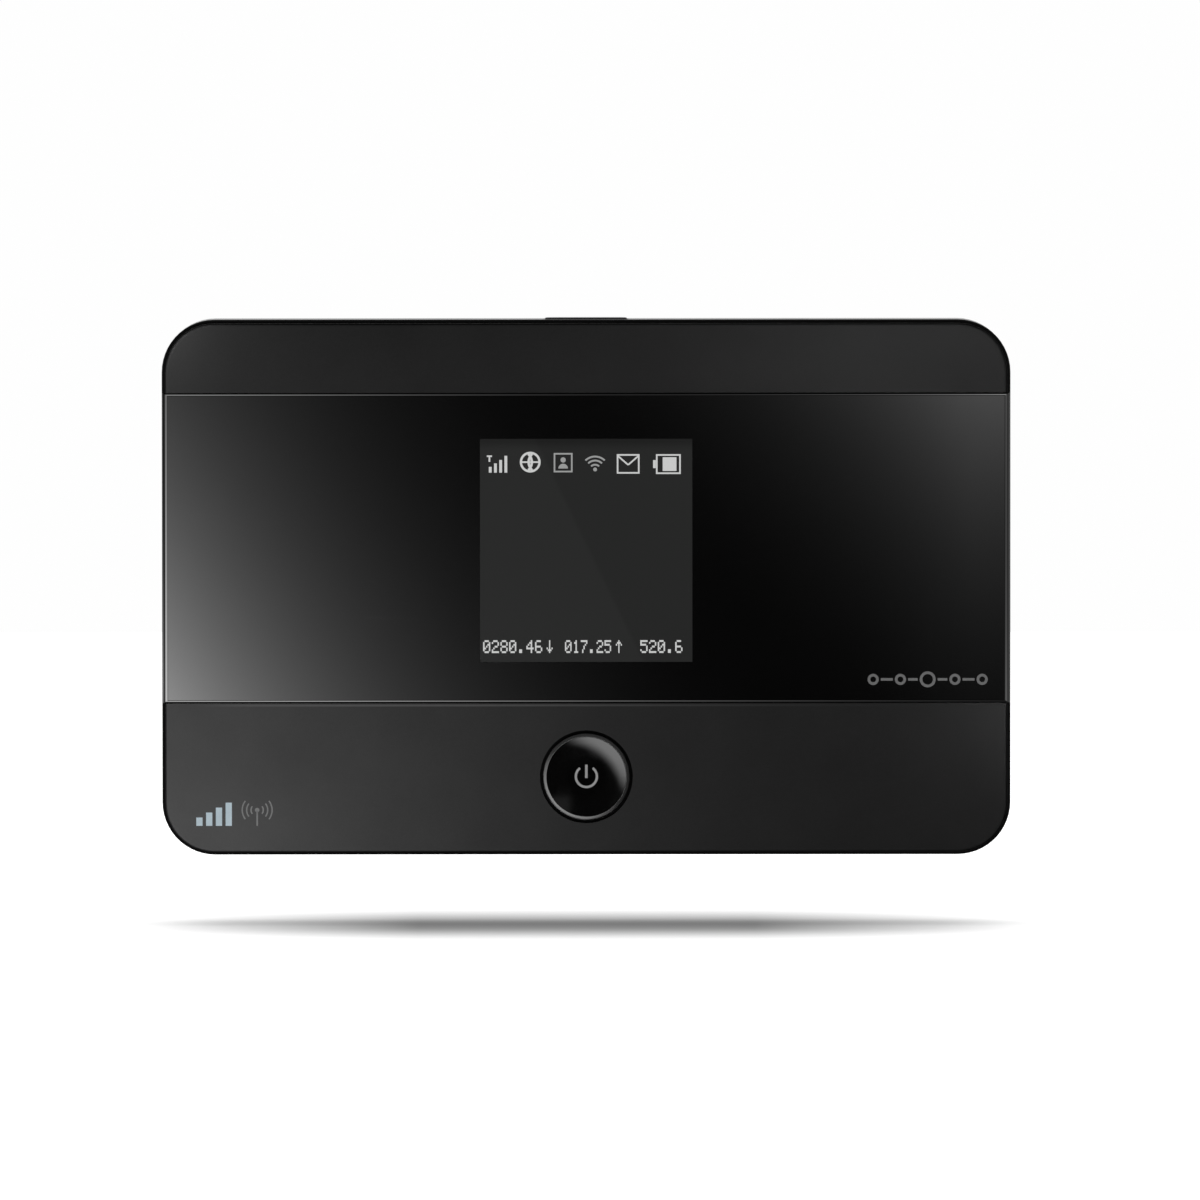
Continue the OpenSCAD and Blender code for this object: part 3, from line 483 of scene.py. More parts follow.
cap_low, cap_high = mm_box("power_button_cap")
DISH_Z = (cap_low.z + cap_high.z) / 2
DISH_DEPTH = 0.75
DISH_EDGE = cap_high.x - 1.65
BLACK_PLASTIC = moulded("black_plastic", 0.014, 0.46, 0.14, 0.012, wear=0.25)
FINISHES = {
    # casing_matte: painted shade on faces turned away from the front (turned=0.2)
    moulded("casing_matte", 0.0048, 0.50, 0.16, 0.010, wear=0.02, spread=0.30, spec=0.13,
            turned=0.2):
        ["front_casing"],
    moulded("cover_matte", 0.0100, 0.50, 0.20, 0.022, wear=0.18, spread=0.22):
        ["battery_cover"],
    glossy("gloss_black", 0.0035, 0.09, wear=0.12, turned=0.06): ["rim_frame"],
    button_cap("button_gloss", DISH_Z, DISH_EDGE, cap_low.y): ["power_button_cap"],
    glossy("menu_button_gloss", 0.0040, 0.16, wear=0.1): ["menu_button_cap"],
    lens_panel("lens_black"): ["display_lens"],
    foam("tape", 0.020): ["lens_adhesive"],
    foam("foam", 0.030): ["display_gasket"],
    BLACK_PLASTIC: ["chassis", "battery_connector", "battery_contact_cap",
                    "battery_end_cap", "usb_tongue"],
    moulded("switch_body", 0.020, 0.42, 0.10, 0.008):
        ["power_switch_base", "menu_switch_base", "reset_switch_base"],
    moulded("socket_body", 0.016, 0.40, 0.10, 0.008):
        ["sim_socket_base", "card_socket_base"],
    moulded("plunger_grey", 0.15, 0.45, 0.12, 0.01):
        ["power_switch_plunger", "menu_switch_plunger"],
    moulded("reset_white", 0.50, 0.45, 0.12, 0.01): ["reset_plunger"],
    moulded("white_plastic", 0.72, 0.40, 0.20, 0.01, (1, 0.995, 0.97)):
        ["display_backlight"],
    moulded("connector_cream", 0.58, 0.42, 0.10, 0.01, (1, 0.93, 0.76)):
        ["display_connector"],
    moulded("card_white", 0.66, 0.34, 0.30, 0.006, (1, 1, 1.01)): ["sim_card"],
    polariser_film("polariser"): ["display_polariser"],
    display_glass("display_glass"): ["display_cell"],
    chip_top("driver_black", 0.016, (1, 1, 1.15)): ["display_driver_chip"],
    chip_top("chip_black", 0.020, (1, 1.02, 1.08)):
        ["modem_chip", "memory_chip", "power_chip", "radio_chips", "wifi_chip"],
    film("amber_film", (0.44, 0.18, 0.045, 1), (0.30, 0.10, 0.02, 1), 0.3):
        ["display_flex"],
    film("copper_film", (0.40, 0.20, 0.07, 1), (0.62, 0.34, 0.16, 1), 0.9, 0.35):
        ["main_antenna", "diversity_antenna", "wifi_antennas"],
    circuit_board("board_green"): ["main_board"],
    metal("tinned_steel", (0.55, 0.56, 0.57, 1), 0.24):
        ["modem_shield", "radio_shield", "wifi_shield"],
    metal("socket_steel", (0.60, 0.61, 0.62, 1), 0.20, (1, 1, 0.08)):
        ["sim_socket_shell", "card_socket_shell", "usb_shell"],
    metal("crystal_can", (0.62, 0.61, 0.57, 1), 0.22): ["oscillator"],
    metal("screw_steel", (0.42, 0.43, 0.45, 1), 0.28, (1, 0.1, 1), 0.2): ["case_screws"],
    metal("gold", (0.80, 0.56, 0.20, 1), 0.18, (0.2, 1, 1), 0.25):
        ["battery_springs", "battery_pads", "antenna_clips", "radio_test_sockets",
         "sim_card_pads"],
    ceramic("ceramic_tan"): ["board_passives"],
    foam("pad_blue", 0.25): ["thermal_pad"],
    paper("label_paper", (0.70, 0.70, 0.67, 1)): ["bay_label"],
    battery_wrap("battery_can"): ["battery_cell"],
}

for finish, names in FINISHES.items():
    for node_name in names:
        for slot in nodes[node_name].material_slots:
            slot.material = finish


# Small parts inside get the slight edge break that moulding and stamping leave
SOFT_EDGES = {
    0.06: ["modem_chip", "memory_chip", "power_chip", "radio_chips", "wifi_chip",
           "oscillator", "board_passives", "display_connector", "display_driver_chip",
           "power_switch_base", "menu_switch_base", "reset_switch_base", "sim_card",
           "display_backlight"],
    0.12: ["battery_contact_cap", "battery_end_cap", "battery_connector"],
}
for width, names in SOFT_EDGES.items():
    for node_name in names:
        weld = nodes[node_name].modifiers.new("weld", "WELD")
        weld.merge_threshold = 1e-6
        bevel = nodes[node_name].modifiers.new("edge", "BEVEL")
        bevel.width = width * MM
        bevel.segments = 2
        bevel.limit_method = "ANGLE"
        bevel.angle_limit = math.radians(50)
        bevel.harden_normals = False


# ------------------------------------------------------------------ flat shapes


def rect(x0, z0, x1, z1):
    return [(x0, z0), (x1, z0), (x1, z1), (x0, z1)]


def disc(x, z, r, count=40):
    return [(x + r * math.cos(t * math.tau / count), z + r * math.sin(t * math.tau / count))
            for t in range(count)]


def half_disc(x, z, r, count=14):
    return [(x + r * math.cos(t * math.pi / count), z + r * math.sin(t * math.pi / count))
            for t in range(count + 1)]


def arc_band(x, z, inner, outer, start_deg, end_deg, count=24):
    """A piece of a ring, from start_deg to end_deg counter-clockwise, as a strip:
    the outer points in order, then the inner points in the same order."""
    angles = [math.radians(start_deg + (end_deg - start_deg) * i / count)
              for i in range(count + 1)]
    return tuple([(x + r * math.cos(a), z + r * math.sin(a)) for a in angles]
                 for r in (outer, inner))


def ring_band(x, z, inner, outer, count=20):
    return [arc_band(x, z, inner, outer, 0, 360, 2 * count)]


def stroke(x0, z0, x1, z1, width):
    along = Vector((x1 - x0, z1 - z0)).normalized()
    side = Vector((-along.y, along.x)) * width / 2
    return [(x0 - side.x, z0 - side.y), (x1 - side.x, z1 - side.y),
            (x1 + side.x, z1 + side.y), (x0 + side.x, z0 + side.y)]


def outline_box(x0, z0, x1, z1, width):
    """A hollow rectangle as four strips that meet at the corners."""
    w = width
    return [rect(x0, z0, x1, z0 + w), rect(x0, z1 - w, x1, z1),
            rect(x0, z0 + w, x0 + w, z1 - w), rect(x1 - w, z0 + w, x1, z1 - w)]


def plate(name, shapes, front, back, body, finish, depth_at=None):
    """Closed slabs from flat x, z shapes, between y = front and y = back.

    depth_at(x, z) moves each point along y, for a shape that follows a curved face."""
    mesh = bmesh.new()

    def raised(points, level):
        return [mesh.verts.new((x * MM, (level + (depth_at(x, z) if depth_at else 0)) * MM,
                                z * MM)) for x, z in points]

    levels = (min(front, back), max(front, back))
    for shape in shapes:
        if isinstance(shape, tuple):
            closed = math.dist(shape[0][0], shape[0][-1]) < 1e-6
            lines = [line[:-1] if closed else line for line in shape]
            (out0, in0), (out1, in1) = [[raised(line, level) for line in lines]
                                        for level in levels]
            count = len(out0)
            for i in range(count if closed else count - 1):
                j = (i + 1) % count
                mesh.faces.new((in0[i], out0[i], out0[j], in0[j]))
                mesh.faces.new((in1[j], out1[j], out1[i], in1[i]))
                mesh.faces.new((out0[j], out0[i], out1[i], out1[j]))
                mesh.faces.new((in0[i], in0[j], in1[j], in1[i]))
            if not closed:
                mesh.faces.new((out0[0], in0[0], in1[0], out1[0]))
                mesh.faces.new((in0[-1], out0[-1], out1[-1], in1[-1]))
            continue
        area = sum(a[0] * b[1] - b[0] * a[1] for a, b in zip(shape, shape[1:] + shape[:1]))
        points = shape if area > 0 else shape[::-1]
        rows = [raised(points, level) for level in levels]
        mesh.faces.new(rows[0])
        mesh.faces.new(rows[1][::-1])
        for i in range(len(points)):
            j = (i + 1) % len(points)
            mesh.faces.new((rows[0][j], rows[0][i], rows[1][i], rows[1][j]))
    bmesh.ops.recalc_face_normals(mesh, faces=mesh.faces)
    data = bpy.data.meshes.new(name)
    mesh.to_mesh(data)
    mesh.free()
    piece = bpy.data.objects.new(name, data)
    scene.collection.objects.link(piece)
    data.materials.append(finish)
    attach(piece, body)
    return piece


# ------------------------------------------------------------------ display picture

picture_y = glass_low.y
PICTURE = rect(-WINDOW_X - 0.3, WINDOW_Z[0] - 0.3, WINDOW_X + 0.3, WINDOW_Z[1] + 0.3)
picture = plate("display_picture", [PICTURE], picture_y - 0.05, picture_y - 0.01, "housing",
                picture_light("picture"))

DIGITS = {
    "0": ("01110", "10001", "10011", "10101", "11001", "10001", "01110"),
    "1": ("00100", "01100", "00100", "00100", "00100", "00100", "01110"),
    "2": ("01110", "10001", "00001", "00110", "01000", "10000", "11111"),
    "4": ("00010", "00110", "01010", "10010", "11111", "00010", "00010"),
    "5": ("11111", "10000", "11110", "00001", "00001", "10001", "01110"),
    "6": ("01110", "10000", "10000", "11110", "10001", "10001", "01110"),
    "7": ("11111", "00001", "00010", "00100", "00100", "01000", "01000"),
    "8": ("01110", "10001", "10001", "01110", "10001", "10001", "01110"),
    ".": ("00000", "00000", "00000", "00000", "00000", "01100", "01100"),
    "<": ("00100", "00100", "00100", "00100", "10101", "01110", "00100"),
    ">": ("00100", "01110", "10101", "00100", "00100", "00100", "00100"),
}


def pixel_row(text, left, right, low, high):
    """Digits and arrows in a five by seven dot matrix, spread between left and right."""
    step_x = (right - left) / (len(text) * 6 - 1)
    step_z = (high - low) / 7
    shapes = []
    for place, sign in enumerate(text):
        for row, bits in enumerate(DIGITS[sign]):
            top = high - row * step_z
            column = 0
            while column < 5:
                if bits[column] == "0":
                    column += 1
                    continue
                end = column
                while end < 5 and bits[end] == "1":
                    end += 1
                x0 = left + (place * 6 + column) * step_x
                x1 = left + (place * 6 + end) * step_x
                shapes.append(rect(x0, top - step_z, x1, top))
                column = end
    return shapes


def display_signs():
    """Status signs along the top of the picture and readouts along the bottom.

    Returns the bright signs and the dim ones."""
    top, low = 49.65, 47.25
    signs = []
    for i, height in enumerate((0.72, 1.15, 1.58, 2.1)):
        signs.append(rect(-12.15 + i * 0.65, low + 0.1, -11.8 + i * 0.65, low + 0.1 + height))
    signs += [rect(-12.4, top - 0.35, -11.75, top - 0.15),
              rect(-12.18, top - 0.95, -11.97, top - 0.35)]
    # globe
    gx, gz, gr = -6.98, 48.66, 1.3
    signs += ring_band(gx, gz, gr - 0.28, gr)
    signs += [arc_band(gx - 1.15, gz, 1.20, 1.50, -48, 48),
              arc_band(gx + 1.15, gz, 1.20, 1.50, 132, 228),
              rect(gx - 1.05, gz - 0.1, gx + 1.05, gz + 0.1)]
    # person in a box
    px, pz = -2.87, 48.58
    dim = outline_box(px - 1.18, pz - 1.2, px + 1.18, pz + 1.22, 0.2)
    dim += [disc(px, pz + 0.35, 0.33, 20), half_disc(px, pz - 0.72, 0.6)]
    # wireless fan
    wx, wz = 1.12, 47.62
    dim += [disc(wx, wz + 0.12, 0.24, 20)]
    dim += [arc_band(wx, wz, r - 0.22, r, 46, 134, 16) for r in (0.82, 1.34, 1.84)]
    # envelope
    ex, ez = 5.25, 48.43
    signs += outline_box(ex - 1.42, ez - 1.22, ex + 1.42, ez + 1.22, 0.2)
    signs += [stroke(ex - 1.36, ez + 1.06, ex, ez - 0.12, 0.2),
              stroke(ex, ez - 0.12, ex + 1.36, ez + 1.06, 0.2)]
    # battery
    bx, bz = 10.22, 48.4
    signs += outline_box(bx - 1.5, bz - 1.24, bx + 1.6, bz + 1.24, 0.2)
    signs += [rect(bx - 1.86, bz - 0.5, bx - 1.52, bz + 0.5),
              rect(bx - 0.66, bz - 0.86, bx + 1.06, bz + 0.86)]
    row = (24.8, 26.4)
    signs += pixel_row("0280.46", -12.89, -5.5, *row) + pixel_row("<", -4.95, -4.2, *row)
    signs += pixel_row("017.25", -2.66, 3.1, *row) + pixel_row(">", 3.7, 4.45, *row)
    signs += pixel_row("520.6", 6.75, 12.02, *row)
    return signs, dim


def lifted(shape, rise):
    """A flat shape, or a strip of two lines, moved up by rise."""
    if isinstance(shape, tuple):
        return tuple(lifted(line, rise) for line in shape)
    return [(x, z + rise) for x, z in shape]


SIGN_RISE = 0.42
for name, shapes, level in zip(("display_signs", "display_signs_dim"), display_signs(),
                               (0.66, 0.36)):
    signs = plate(name, [lifted(shape, SIGN_RISE) for shape in shapes],
                  picture_y - 0.075, picture_y - 0.05, "housing",
                  lit_ink(name + "_light", level, (0.99, 1.0, 0.99)))


# ------------------------------------------------------------------ printed marks

face_y = mm_box("front_casing")[0].y
lens_y = lens_low.y


def signal_mark(x, z, height):
    """Rising bars in a bold print."""
    pitch, width = 1.22, 0.78
    return [rect(x + i * pitch, z, x + i * pitch + width, z + height * (0.36 + 0.213 * i))
            for i in range(4)]


def beacon_mark(x, z, height):
    """A mast between thin waves."""
    shapes = [rect(x - 0.1, z, x + 0.1, z + height * 0.62), disc(x, z + height * 0.68, 0.28, 20)]
    for r in (0.85, 1.4, 1.95):
        shapes.append(arc_band(x, z + height * 0.68, r - 0.17, r, -38, 38, 14))
        shapes.append(arc_band(x, z + height * 0.68, r - 0.17, r, 142, 218, 14))
    return shapes


MARK_Z, MARK_HEIGHT = 3.75, 2.9
# The signal and beacon prints glow: painted light on the ink.
bars = plate("signal_print", signal_mark(-48.7, MARK_Z, MARK_HEIGHT), face_y - 0.015,
             face_y + 0.02, "housing",
             flat_print("print_blue", 0.50, (0.80, 0.98, 1.08), glow=0.12))
beacon = plate("beacon_print", beacon_mark(-41.1, MARK_Z, MARK_HEIGHT), face_y - 0.015,
               face_y + 0.02, "housing", flat_print("print_grey", 0.17, glow=0.15))


def chain_mark(x0, x1, z):
    """Five linked dots, for a network."""
    shapes = []
    step = (x1 - x0) / 4
    for i in range(5):
        cx = x0 + i * step
        r = 1.0 if i == 2 else 0.7
        shapes += ring_band(cx, z, r - 0.34, r, 14)
        if i < 4:
            r_next = 1.0 if i == 1 else 0.7
            shapes.append(rect(cx + r + 0.25, z - 0.16, cx + step - r_next - 0.25, z + 0.16))
    return shapes


# The network print glows: painted light on the ink.
chain = plate("network_print", chain_mark(35.8, 49.4, 22.0), lens_y - 0.012, lens_y + 0.02,
              "housing", flat_print("print_mid", 0.115, glow=0.15))


# Power sign printed in the dish of the power button
dish_radius = (DISH_EDGE ** 2 + DISH_DEPTH ** 2) / (2 * DISH_DEPTH)


def dish(x, z):
    """How far the dish lies behind the cap's rim at x, z."""
    reach = min(math.hypot(x, z - DISH_Z), DISH_EDGE)
    return DISH_DEPTH - dish_radius + math.sqrt(dish_radius ** 2 - reach ** 2)


power_sign = [arc_band(0, DISH_Z, 1.17, 1.46, 127, 413, 60)]
BAR_LOW, BAR_STEP = DISH_Z - 0.2, 0.42
power_sign += [rect(-0.16, BAR_LOW + i * BAR_STEP, 0.16, BAR_LOW + (i + 1) * BAR_STEP)
               for i in range(4)]
# The power sign glows: painted light on the ink.
power = plate("power_print", power_sign, cap_low.y - 0.02, cap_low.y + 0.02, "power_button",
              flat_print("print_power", 0.26, glow=0.2), dish)


def lip_painted_highlight(name):
    """The casing's plastic on a strip under the lens, with a long soft highlight painted in as
    emission.
    """
    s = start(name)
    x = s.axes()[0]
    spot = (x + 22.0) / 35.0
    # painted highlight: emission peaking left of the middle, faded towards the left end
    shine = (-(spot * spot)).exp() * x.ramp(-50.0, -42.0) * 0.033
    grain = (s.noise(0.4, 2.0, seed=3.0) - 0.5) * 0.3 + 1.0
    normal = s.bump(s.noise(0.26, 3.0, seed=7.0), 0.01)
    return s.finish(s.surface(grey(0.0048), 0.5, normal, Specular_IOR_Level=0.13,
                              Emission_Color=grey(1.0), Emission_Strength=shine * grain))


LIP_Z, LIP_HEIGHT = lens_low.z - 0.45, 0.25
# A strip under the lens that carries the painted highlight.
lip = plate("channel_lip", [rect(-49.5, LIP_Z, 46.0, LIP_Z + LIP_HEIGHT)], face_y - 0.01,
            face_y + 0.2, "housing", lip_painted_highlight("lip_painted_highlight"))


# ------------------------------------------------------------------ prints on hidden sides

cover_high = mm_box("battery_cover")[1]
INK_GREY = flat_print("ink_grey", 0.10)
INK_BLACK = flat_print("ink_black", 0.02)


def triangle(x, z, size):
    return [(x - size, z), (x + size, z), (x, z - size * 1.1)]


arrow = plate("open_mark", [triangle(18, 8.2, 1.3)], cover_high.y - 0.02, cover_high.y + 0.05,
              "cover", INK_GREY)

label_low, label_high = mm_box("bay_label")


def label_signs():
    """Pictures only: how the battery, the card and the memory card go in."""
    shapes = outline_box(label_low.x + 1, label_low.z + 1,
                         label_high.x - 1, label_high.z - 1, 0.15)
    mid = (label_low.z + label_high.z) / 2
    bx = label_low.x + 9
    shapes += outline_box(bx - 5, mid - 3.6, bx + 5, mid + 3.6, 0.3)
    shapes += [rect(bx - 6.4, mid - 1.4, bx - 5.2, mid + 1.4)]
    shapes += [rect(bx - 3.6, mid - 0.25, bx - 1.6, mid + 0.25),
               rect(bx + 1.6, mid - 0.25, bx + 3.6, mid + 0.25),
               rect(bx + 2.35, mid + 0.25, bx + 2.85, mid + 1.0),
               rect(bx + 2.35, mid - 1.0, bx + 2.85, mid - 0.25)]
    cx = label_low.x + 22.5
    shapes += outline_box(cx - 2.6, mid - 3.4, cx + 2.6, mid + 3.4, 0.25)
    shapes += outline_box(cx - 1.3, mid - 1.2, cx + 1.3, mid + 1.4, 0.2)
    shapes += [stroke(cx, mid + 5.2, cx, mid + 8.0, 0.3), triangle(cx, mid + 5.4, 0.8)]
    mx = label_low.x + 31
    shapes += outline_box(mx - 2.3, mid - 3.2, mx + 2.3, mid + 3.2, 0.25)
    shapes += [rect(mx - 1.6 + i * 0.85, mid + 1.6, mx - 1.1 + i * 0.85, mid + 2.7)
               for i in range(4)]
    shapes += [stroke(mx, mid + 5.2, mx, mid + 8.0, 0.3), triangle(mx, mid + 5.4, 0.8)]
    return shapes


label_print = plate("bay_label_print", label_signs(), label_high.y - 0.01, label_high.y + 0.02,
                    "housing", INK_BLACK)

cell_low, cell_high = mm_box("battery_cell")


def battery_signs():
    """A cell outline with its two poles, and handling pictures drawn as plain shapes."""
    shapes = outline_box(cell_low.x + 4, cell_low.z + 5, cell_high.x - 4, cell_high.z - 5, 0.2)
    mid = (cell_low.z + cell_high.z) / 2
    right = cell_high.x - 8
    for i, kind in enumerate("+ii-"):
        z = mid + (1.5 - i) * 4.24
        if kind in "+-":
            shapes.append(rect(right - 0.9, z - 0.2, right + 0.9, z + 0.2))
        if kind == "+":
            shapes += [rect(right - 0.2, z + 0.2, right + 0.2, z + 0.9),
                       rect(right - 0.2, z - 0.9, right + 0.2, z - 0.2)]
        if kind == "i":
            shapes += ring_band(right, z, 0.5, 0.75, 14)
    left = cell_low.x + 12
    shapes += outline_box(left - 3.5, mid - 7, left + 3.5, mid + 5.5, 0.35)
    shapes.append(rect(left - 1.4, mid + 5.6, left + 1.4, mid + 6.9))
    shapes += [rect(left - 2.4, mid - 6 + i * 2.6, left + 2.4, mid - 4.2 + i * 2.6)
               for i in range(4)]
    return shapes


battery_print = plate("battery_print", battery_signs(), cell_high.y - 0.01, cell_high.y + 0.02,
                      "battery", flat_print("ink_silver", 0.30))


# ------------------------------------------------------------------ floor

FLOOR_Z = -8.8
FLOOR_X, FLOOR_Y = 900.0, (-1400.0, 900.0)
floor_mesh = bmesh.new()
corners = [(-FLOOR_X, FLOOR_Y[0]), (FLOOR_X, FLOOR_Y[0]), (FLOOR_X, FLOOR_Y[1]),
           (-FLOOR_X, FLOOR_Y[1])]
floor_mesh.faces.new([floor_mesh.verts.new((x * MM, y * MM, FLOOR_Z * MM)) for x, y in corners])
floor_data = bpy.data.meshes.new("floor")
floor_mesh.to_mesh(floor_data)
floor_mesh.free()
floor = bpy.data.objects.new("floor", floor_data)
scene.collection.objects.link(floor)
floor.visible_glossy = False


def floor_finish():
    """Pale floor with a soft pool of shade painted under the object; its diffuse part also
    catches real shadow.
    """
    s = start("floor_pale")
    x, y, _ = s.axes()
    ends = (x.abs() / -45.0 + 66.0 / 45.0).high(0.0).low(1.0)
    depth = (y + 7.5) / 31.0
    depth = depth.low(depth * 1.28)
    # painted shadow: a soft pool darkest under the object, fading to its ends and to front and
    # back; light is the floor's tone under it
    painted_shadow_pool = (-(depth * depth)).exp() * ends
    light = 1.0 - painted_shadow_pool * 0.78
    white = s.add("CombineColor", 0, {0: light * 0.88, 1: light * 0.88, 2: light * 0.88})
    matte = s.add("BsdfDiffuse", 0, {"Color": white})
    lit = s.add("Emission", 0, {"Color": white, "Strength": 0.75})
    return s.finish(s.add("AddShader", 0, {0: matte, 1: lit}))


floor_data.materials.append(floor_finish())


# ------------------------------------------------------------------ studio light

scene.view_settings.view_transform = "Standard"
scene.view_settings.look = "None"

EYE = Vector((1.78, -8.0, 31.94))
DISTANCE = 2000.0
TILT = math.radians(2.2)
ROLL = math.radians(0.045)
reach_y = DISTANCE * math.cos(TILT)
rise = DISTANCE * math.sin(TILT)


def studio():
    """White behind the camera's view; soft panels and dark flags in reflections."""
    world = bpy.data.worlds.new("studio")
    scene.world = world
    s = Shader(world)
    x, y, z = s.axes(s.add("TexCoord", "Generated"))
    ahead = (-y).high(0.001)
    a = x / ahead
    b = z / ahead
    # what the flat lens mirrors: two soft panels that reach in from the sides
    panel_x = (a * reach_y + EYE.x).high(-57.0).low(56.0)
    panel_z = (b * reach_y + EYE.z + rise).high(15.0).low(61.0)
    left = ((panel_x + 51.75) * -0.0717).exp() * ((panel_z - 20.4) * -0.0466).exp() * 0.243
    right = ((panel_x.low(48.0) - 50.5) * 0.074).exp() * ((55.4 - panel_z) * -0.066).exp() * 0.069
    lens_light = (left + right - 0.0010) / 0.041
    near = a.abs().ramp(0.055, 0.030) * (b + 0.036).abs().ramp(0.050, 0.028)
    # a faint panel high on the right, in the dish of the power button
    glint = ((a + b) * 0.9 - (a - b).abs() * 0.9).ramp(0.35, 0.60) * 0.24 + 0.01
    off_axis = (-y).ramp(0.80, 0.74)
    low_left = (-(x + z * 1.1)).ramp(0.10, 1.45)
    wide = low_left * 0.23 + 0.02
    front_light = glint + (wide - glint) * off_axis
    front_light = lens_light * near + front_light * (1.0 - near)
    # behind the object: one broad soft panel, clear of what the rim mirrors to the front
    rear = z.ramp(-0.55, 0.25) * 0.5 + 0.15
    behind = y.ramp(0.68, 0.86)
    glossy_light = front_light + (rear - front_light) * behind
    sight = s.value("LightPath", "Is Camera Ray")
    mirror = s.value("LightPath", "Is Glossy Ray")
    strength = sight * 0.992 + (1.0 - sight) * (mirror * glossy_light + (1.0 - mirror) * 0.55)
    s.finish(s.add("Background", 0, {"Color": grey(1.0), "Strength": strength}))


studio()


def soft_box(name, place, aim, size, watts, gloss=True):
    data = bpy.data.lights.new(name, "AREA")
    data.shape = "RECTANGLE"
    data.size, data.size_y = size[0] * MM, size[1] * MM
    data.energy = watts
    lamp = bpy.data.objects.new(name, data)
    scene.collection.objects.link(lamp)
    lamp.location = Vector(place) * MM
    lamp.rotation_euler = (Vector(aim) - Vector(place)).to_track_quat("-Z", "Y").to_euler()
    lamp.visible_camera = False
    lamp.visible_glossy = gloss
    return lamp


def light_only(lamp, *targets):
    """Keeps a lamp's light and shadow to a few objects, as a grid and flags would."""
    group = bpy.data.collections.new(lamp.name + "_targets")
    for target in targets:
        group.objects.link(target)
    lamp.light_linking.receiver_collection = group
    lamp.light_linking.blocker_collection = group


def along_lamp(lamp, axis, start_level, start_reach, end_level, end_reach, base):
    """Makes a lamp's light change along one side: bright ends that fade to the middle.

    Across that side, and at the ends of an upright lamp, it fades as a soft box does.
    """
    s = Shader(lamp.data)
    places = s.axes(s.add("NewGeometry", "Parametric"))
    u = places[axis]
    soft = places[1 - axis].ramp(0.0, 0.25) * places[1 - axis].ramp(1.0, 0.75)
    if axis == 1:
        soft = soft * u.ramp(0.0, 0.15) * u.ramp(1.0, 0.85)
    far = (1.0 - u) / end_reach
    near = u / start_reach
    level = (-(near * near)).exp() * start_level + (-far).exp() * end_level + base
    s.finish(s.add("Emission", 0, {"Color": grey(1.0), "Strength": level * soft * 1.2}))


soft_box("overhead", (0, 120, 700), (0, 0, 20), (900, 700), 3.0, gloss=False)
low_left = soft_box("low_left", (-65, -68, -5), (-65, -8, -20), (16, 12), 0.60, gloss=False)
top_left = soft_box("top_left", (-59, -20, 70), (-59, 0, 70), (10, 10), 0.021, gloss=False)
top_right = soft_box("top_right", (42, -58, 70), (42, -8, 70), (30, 20), 0.07, gloss=False)
low_right = soft_box("low_right", (58, -25, 22), (58, -8, 20), (8, 8), 0.010, gloss=False)
for lamp in (low_left, top_left, top_right, low_right):
    light_only(lamp, nodes["front_casing"], lip)
# broad panels over and beside the object, for its edges and its back cover
for name, place, size, watts in (("panel_top", (0, 60, 240), (260, 200), 0.075),
                                 ("panel_left", (-230, 40, 45), (180, 180), 0.045),
                                 ("panel_right", (230, 40, 45), (180, 180), 0.045),
                                 ("panel_front_left", (-200, -190, 50), (200, 160), 0.035),
                                 ("panel_front_right", (200, -190, 50), (200, 160), 0.035)):
    panel = soft_box(name, place, (0, 0, 36), size, watts)
    light_only(panel, *(nodes[part] for part in
                        ("rim_frame", "battery_cover", "menu_button_cap", "usb_shell")))
strip_low = soft_box("strip_low", (0, -46.6, -27), (0, -8, 19), (120, 60), 0.16)
along_lamp(strip_low, 0, 1.1, 0.46, 0.0, 1.0, 0.01)
strip_high = soft_box("strip_high", (0, -46.6, 103.6), (0, -8, 57.8), (120, 60), 0.16)
along_lamp(strip_high, 0, 0.66, 0.27, 1.0, 0.1, 0.04)
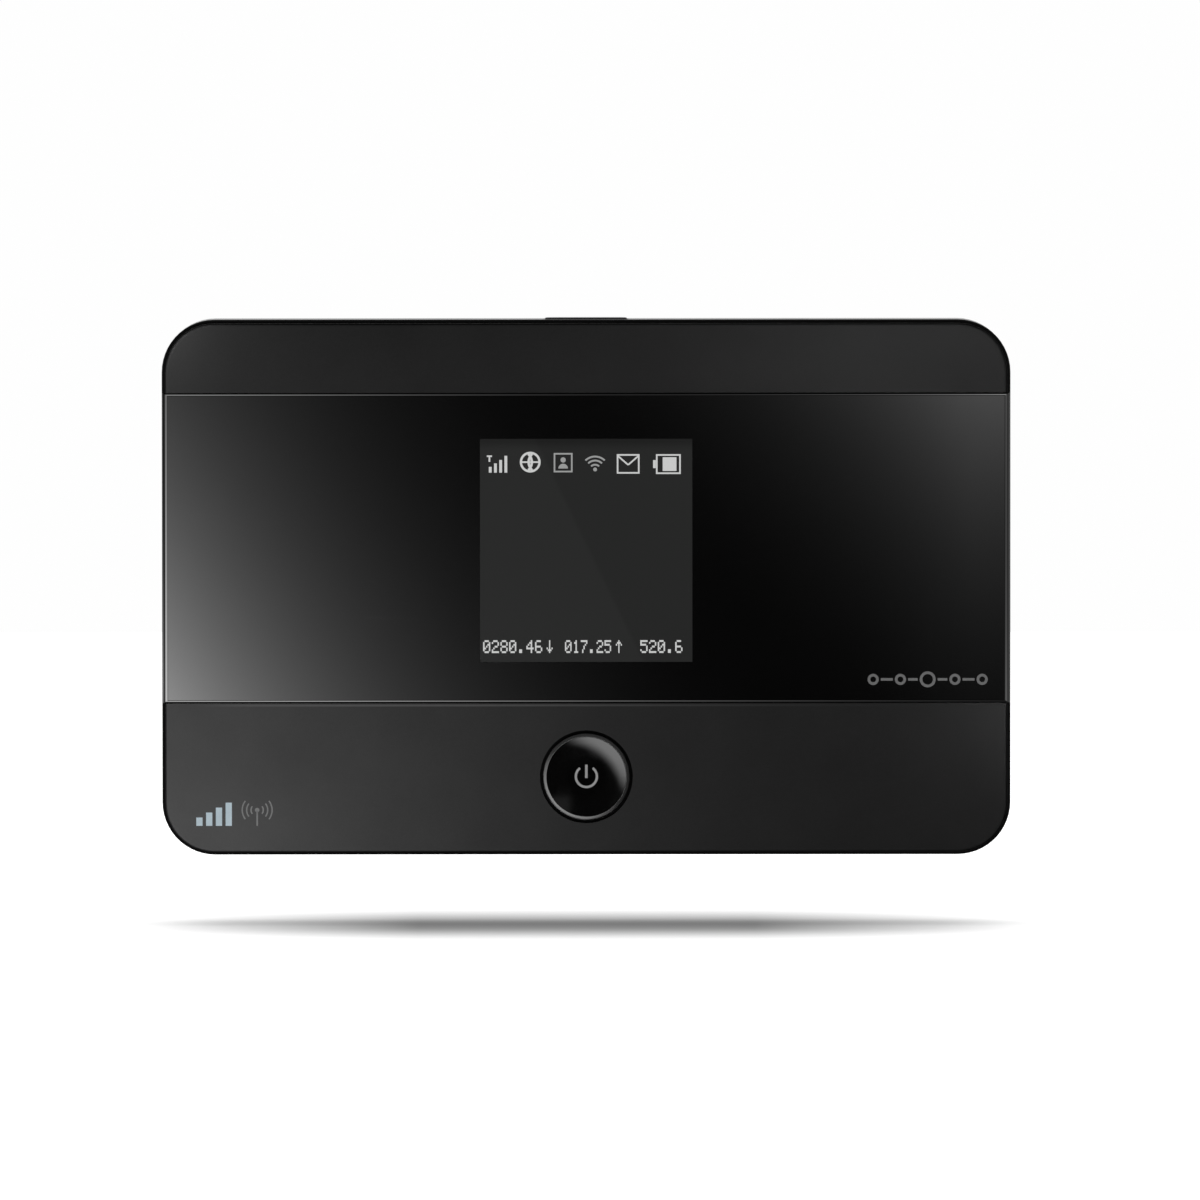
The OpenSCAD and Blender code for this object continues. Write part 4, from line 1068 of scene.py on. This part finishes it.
end_left = soft_box("end_left", (-87.3, -56.5, 40), (-52, -8, 40), (64, 90), 0.186)
along_lamp(end_left, 1, 1.1, 0.45, 0.0, 1.0, 0.15)
end_right = soft_box("end_right", (90.6, -54, 38), (52, -8, 38), (75, 90), 0.208)
along_lamp(end_right, 1, 0.25, 0.30, 0.30, 0.2, 0.06)
side_left = soft_box("side_left", (-120, 10, 40), (-53, -8, 40), (60, 60), 0.0085)
along_lamp(side_left, 1, 2.9, 0.3, 0.0, 1.0, 0.0)
side_right = soft_box("side_right", (120, 10, 40), (53, -8, 40), (60, 60), 0.0095)
for lamp in (strip_low, strip_high, end_left, end_right, side_left, side_right):
    light_only(lamp, nodes["display_lens"])

# The dished button mirrors a slanting crescent out of a big panel low on the left
PANEL_REACH = 400.0
PANEL_SIZE = 560.0
PANEL_LOW = -0.95      # where the panel starts, as a slope from the button
panel_mid = PANEL_LOW * PANEL_REACH + PANEL_SIZE / 2
crescent = soft_box("crescent", (panel_mid, face_y - PANEL_REACH, DISH_Z + panel_mid),
                    (panel_mid, face_y, DISH_Z + panel_mid), (PANEL_SIZE, PANEL_SIZE), 3.98)
light_only(crescent, nodes["power_button_cap"])
s = Shader(crescent.data)
u, v, _ = s.axes(s.add("NewGeometry", "Parametric"))
a = u * (PANEL_SIZE / PANEL_REACH) + PANEL_LOW
b = v * (PANEL_SIZE / PANEL_REACH) + PANEL_LOW
slant = (a * a + b * b).op("SQRT") * 0.641 - (a + b) * 0.664
s.finish(s.add("Emission", 0, {"Color": grey(1.0), "Strength": slant.ramp(0.585, 0.95)}))

camera_data = bpy.data.cameras.new("camera")
camera_data.sensor_width = 36.0
FRAME_WIDTH = 149.71
camera_data.lens = camera_data.sensor_width * DISTANCE / FRAME_WIDTH
camera_data.clip_start = 0.1
camera_data.clip_end = 20.0
camera = bpy.data.objects.new("camera", camera_data)
scene.collection.objects.link(camera)
camera.location = (EYE + Vector((0, -reach_y, rise))) * MM
camera.rotation_euler = (math.radians(90) - TILT, ROLL, 0)
scene.camera = camera
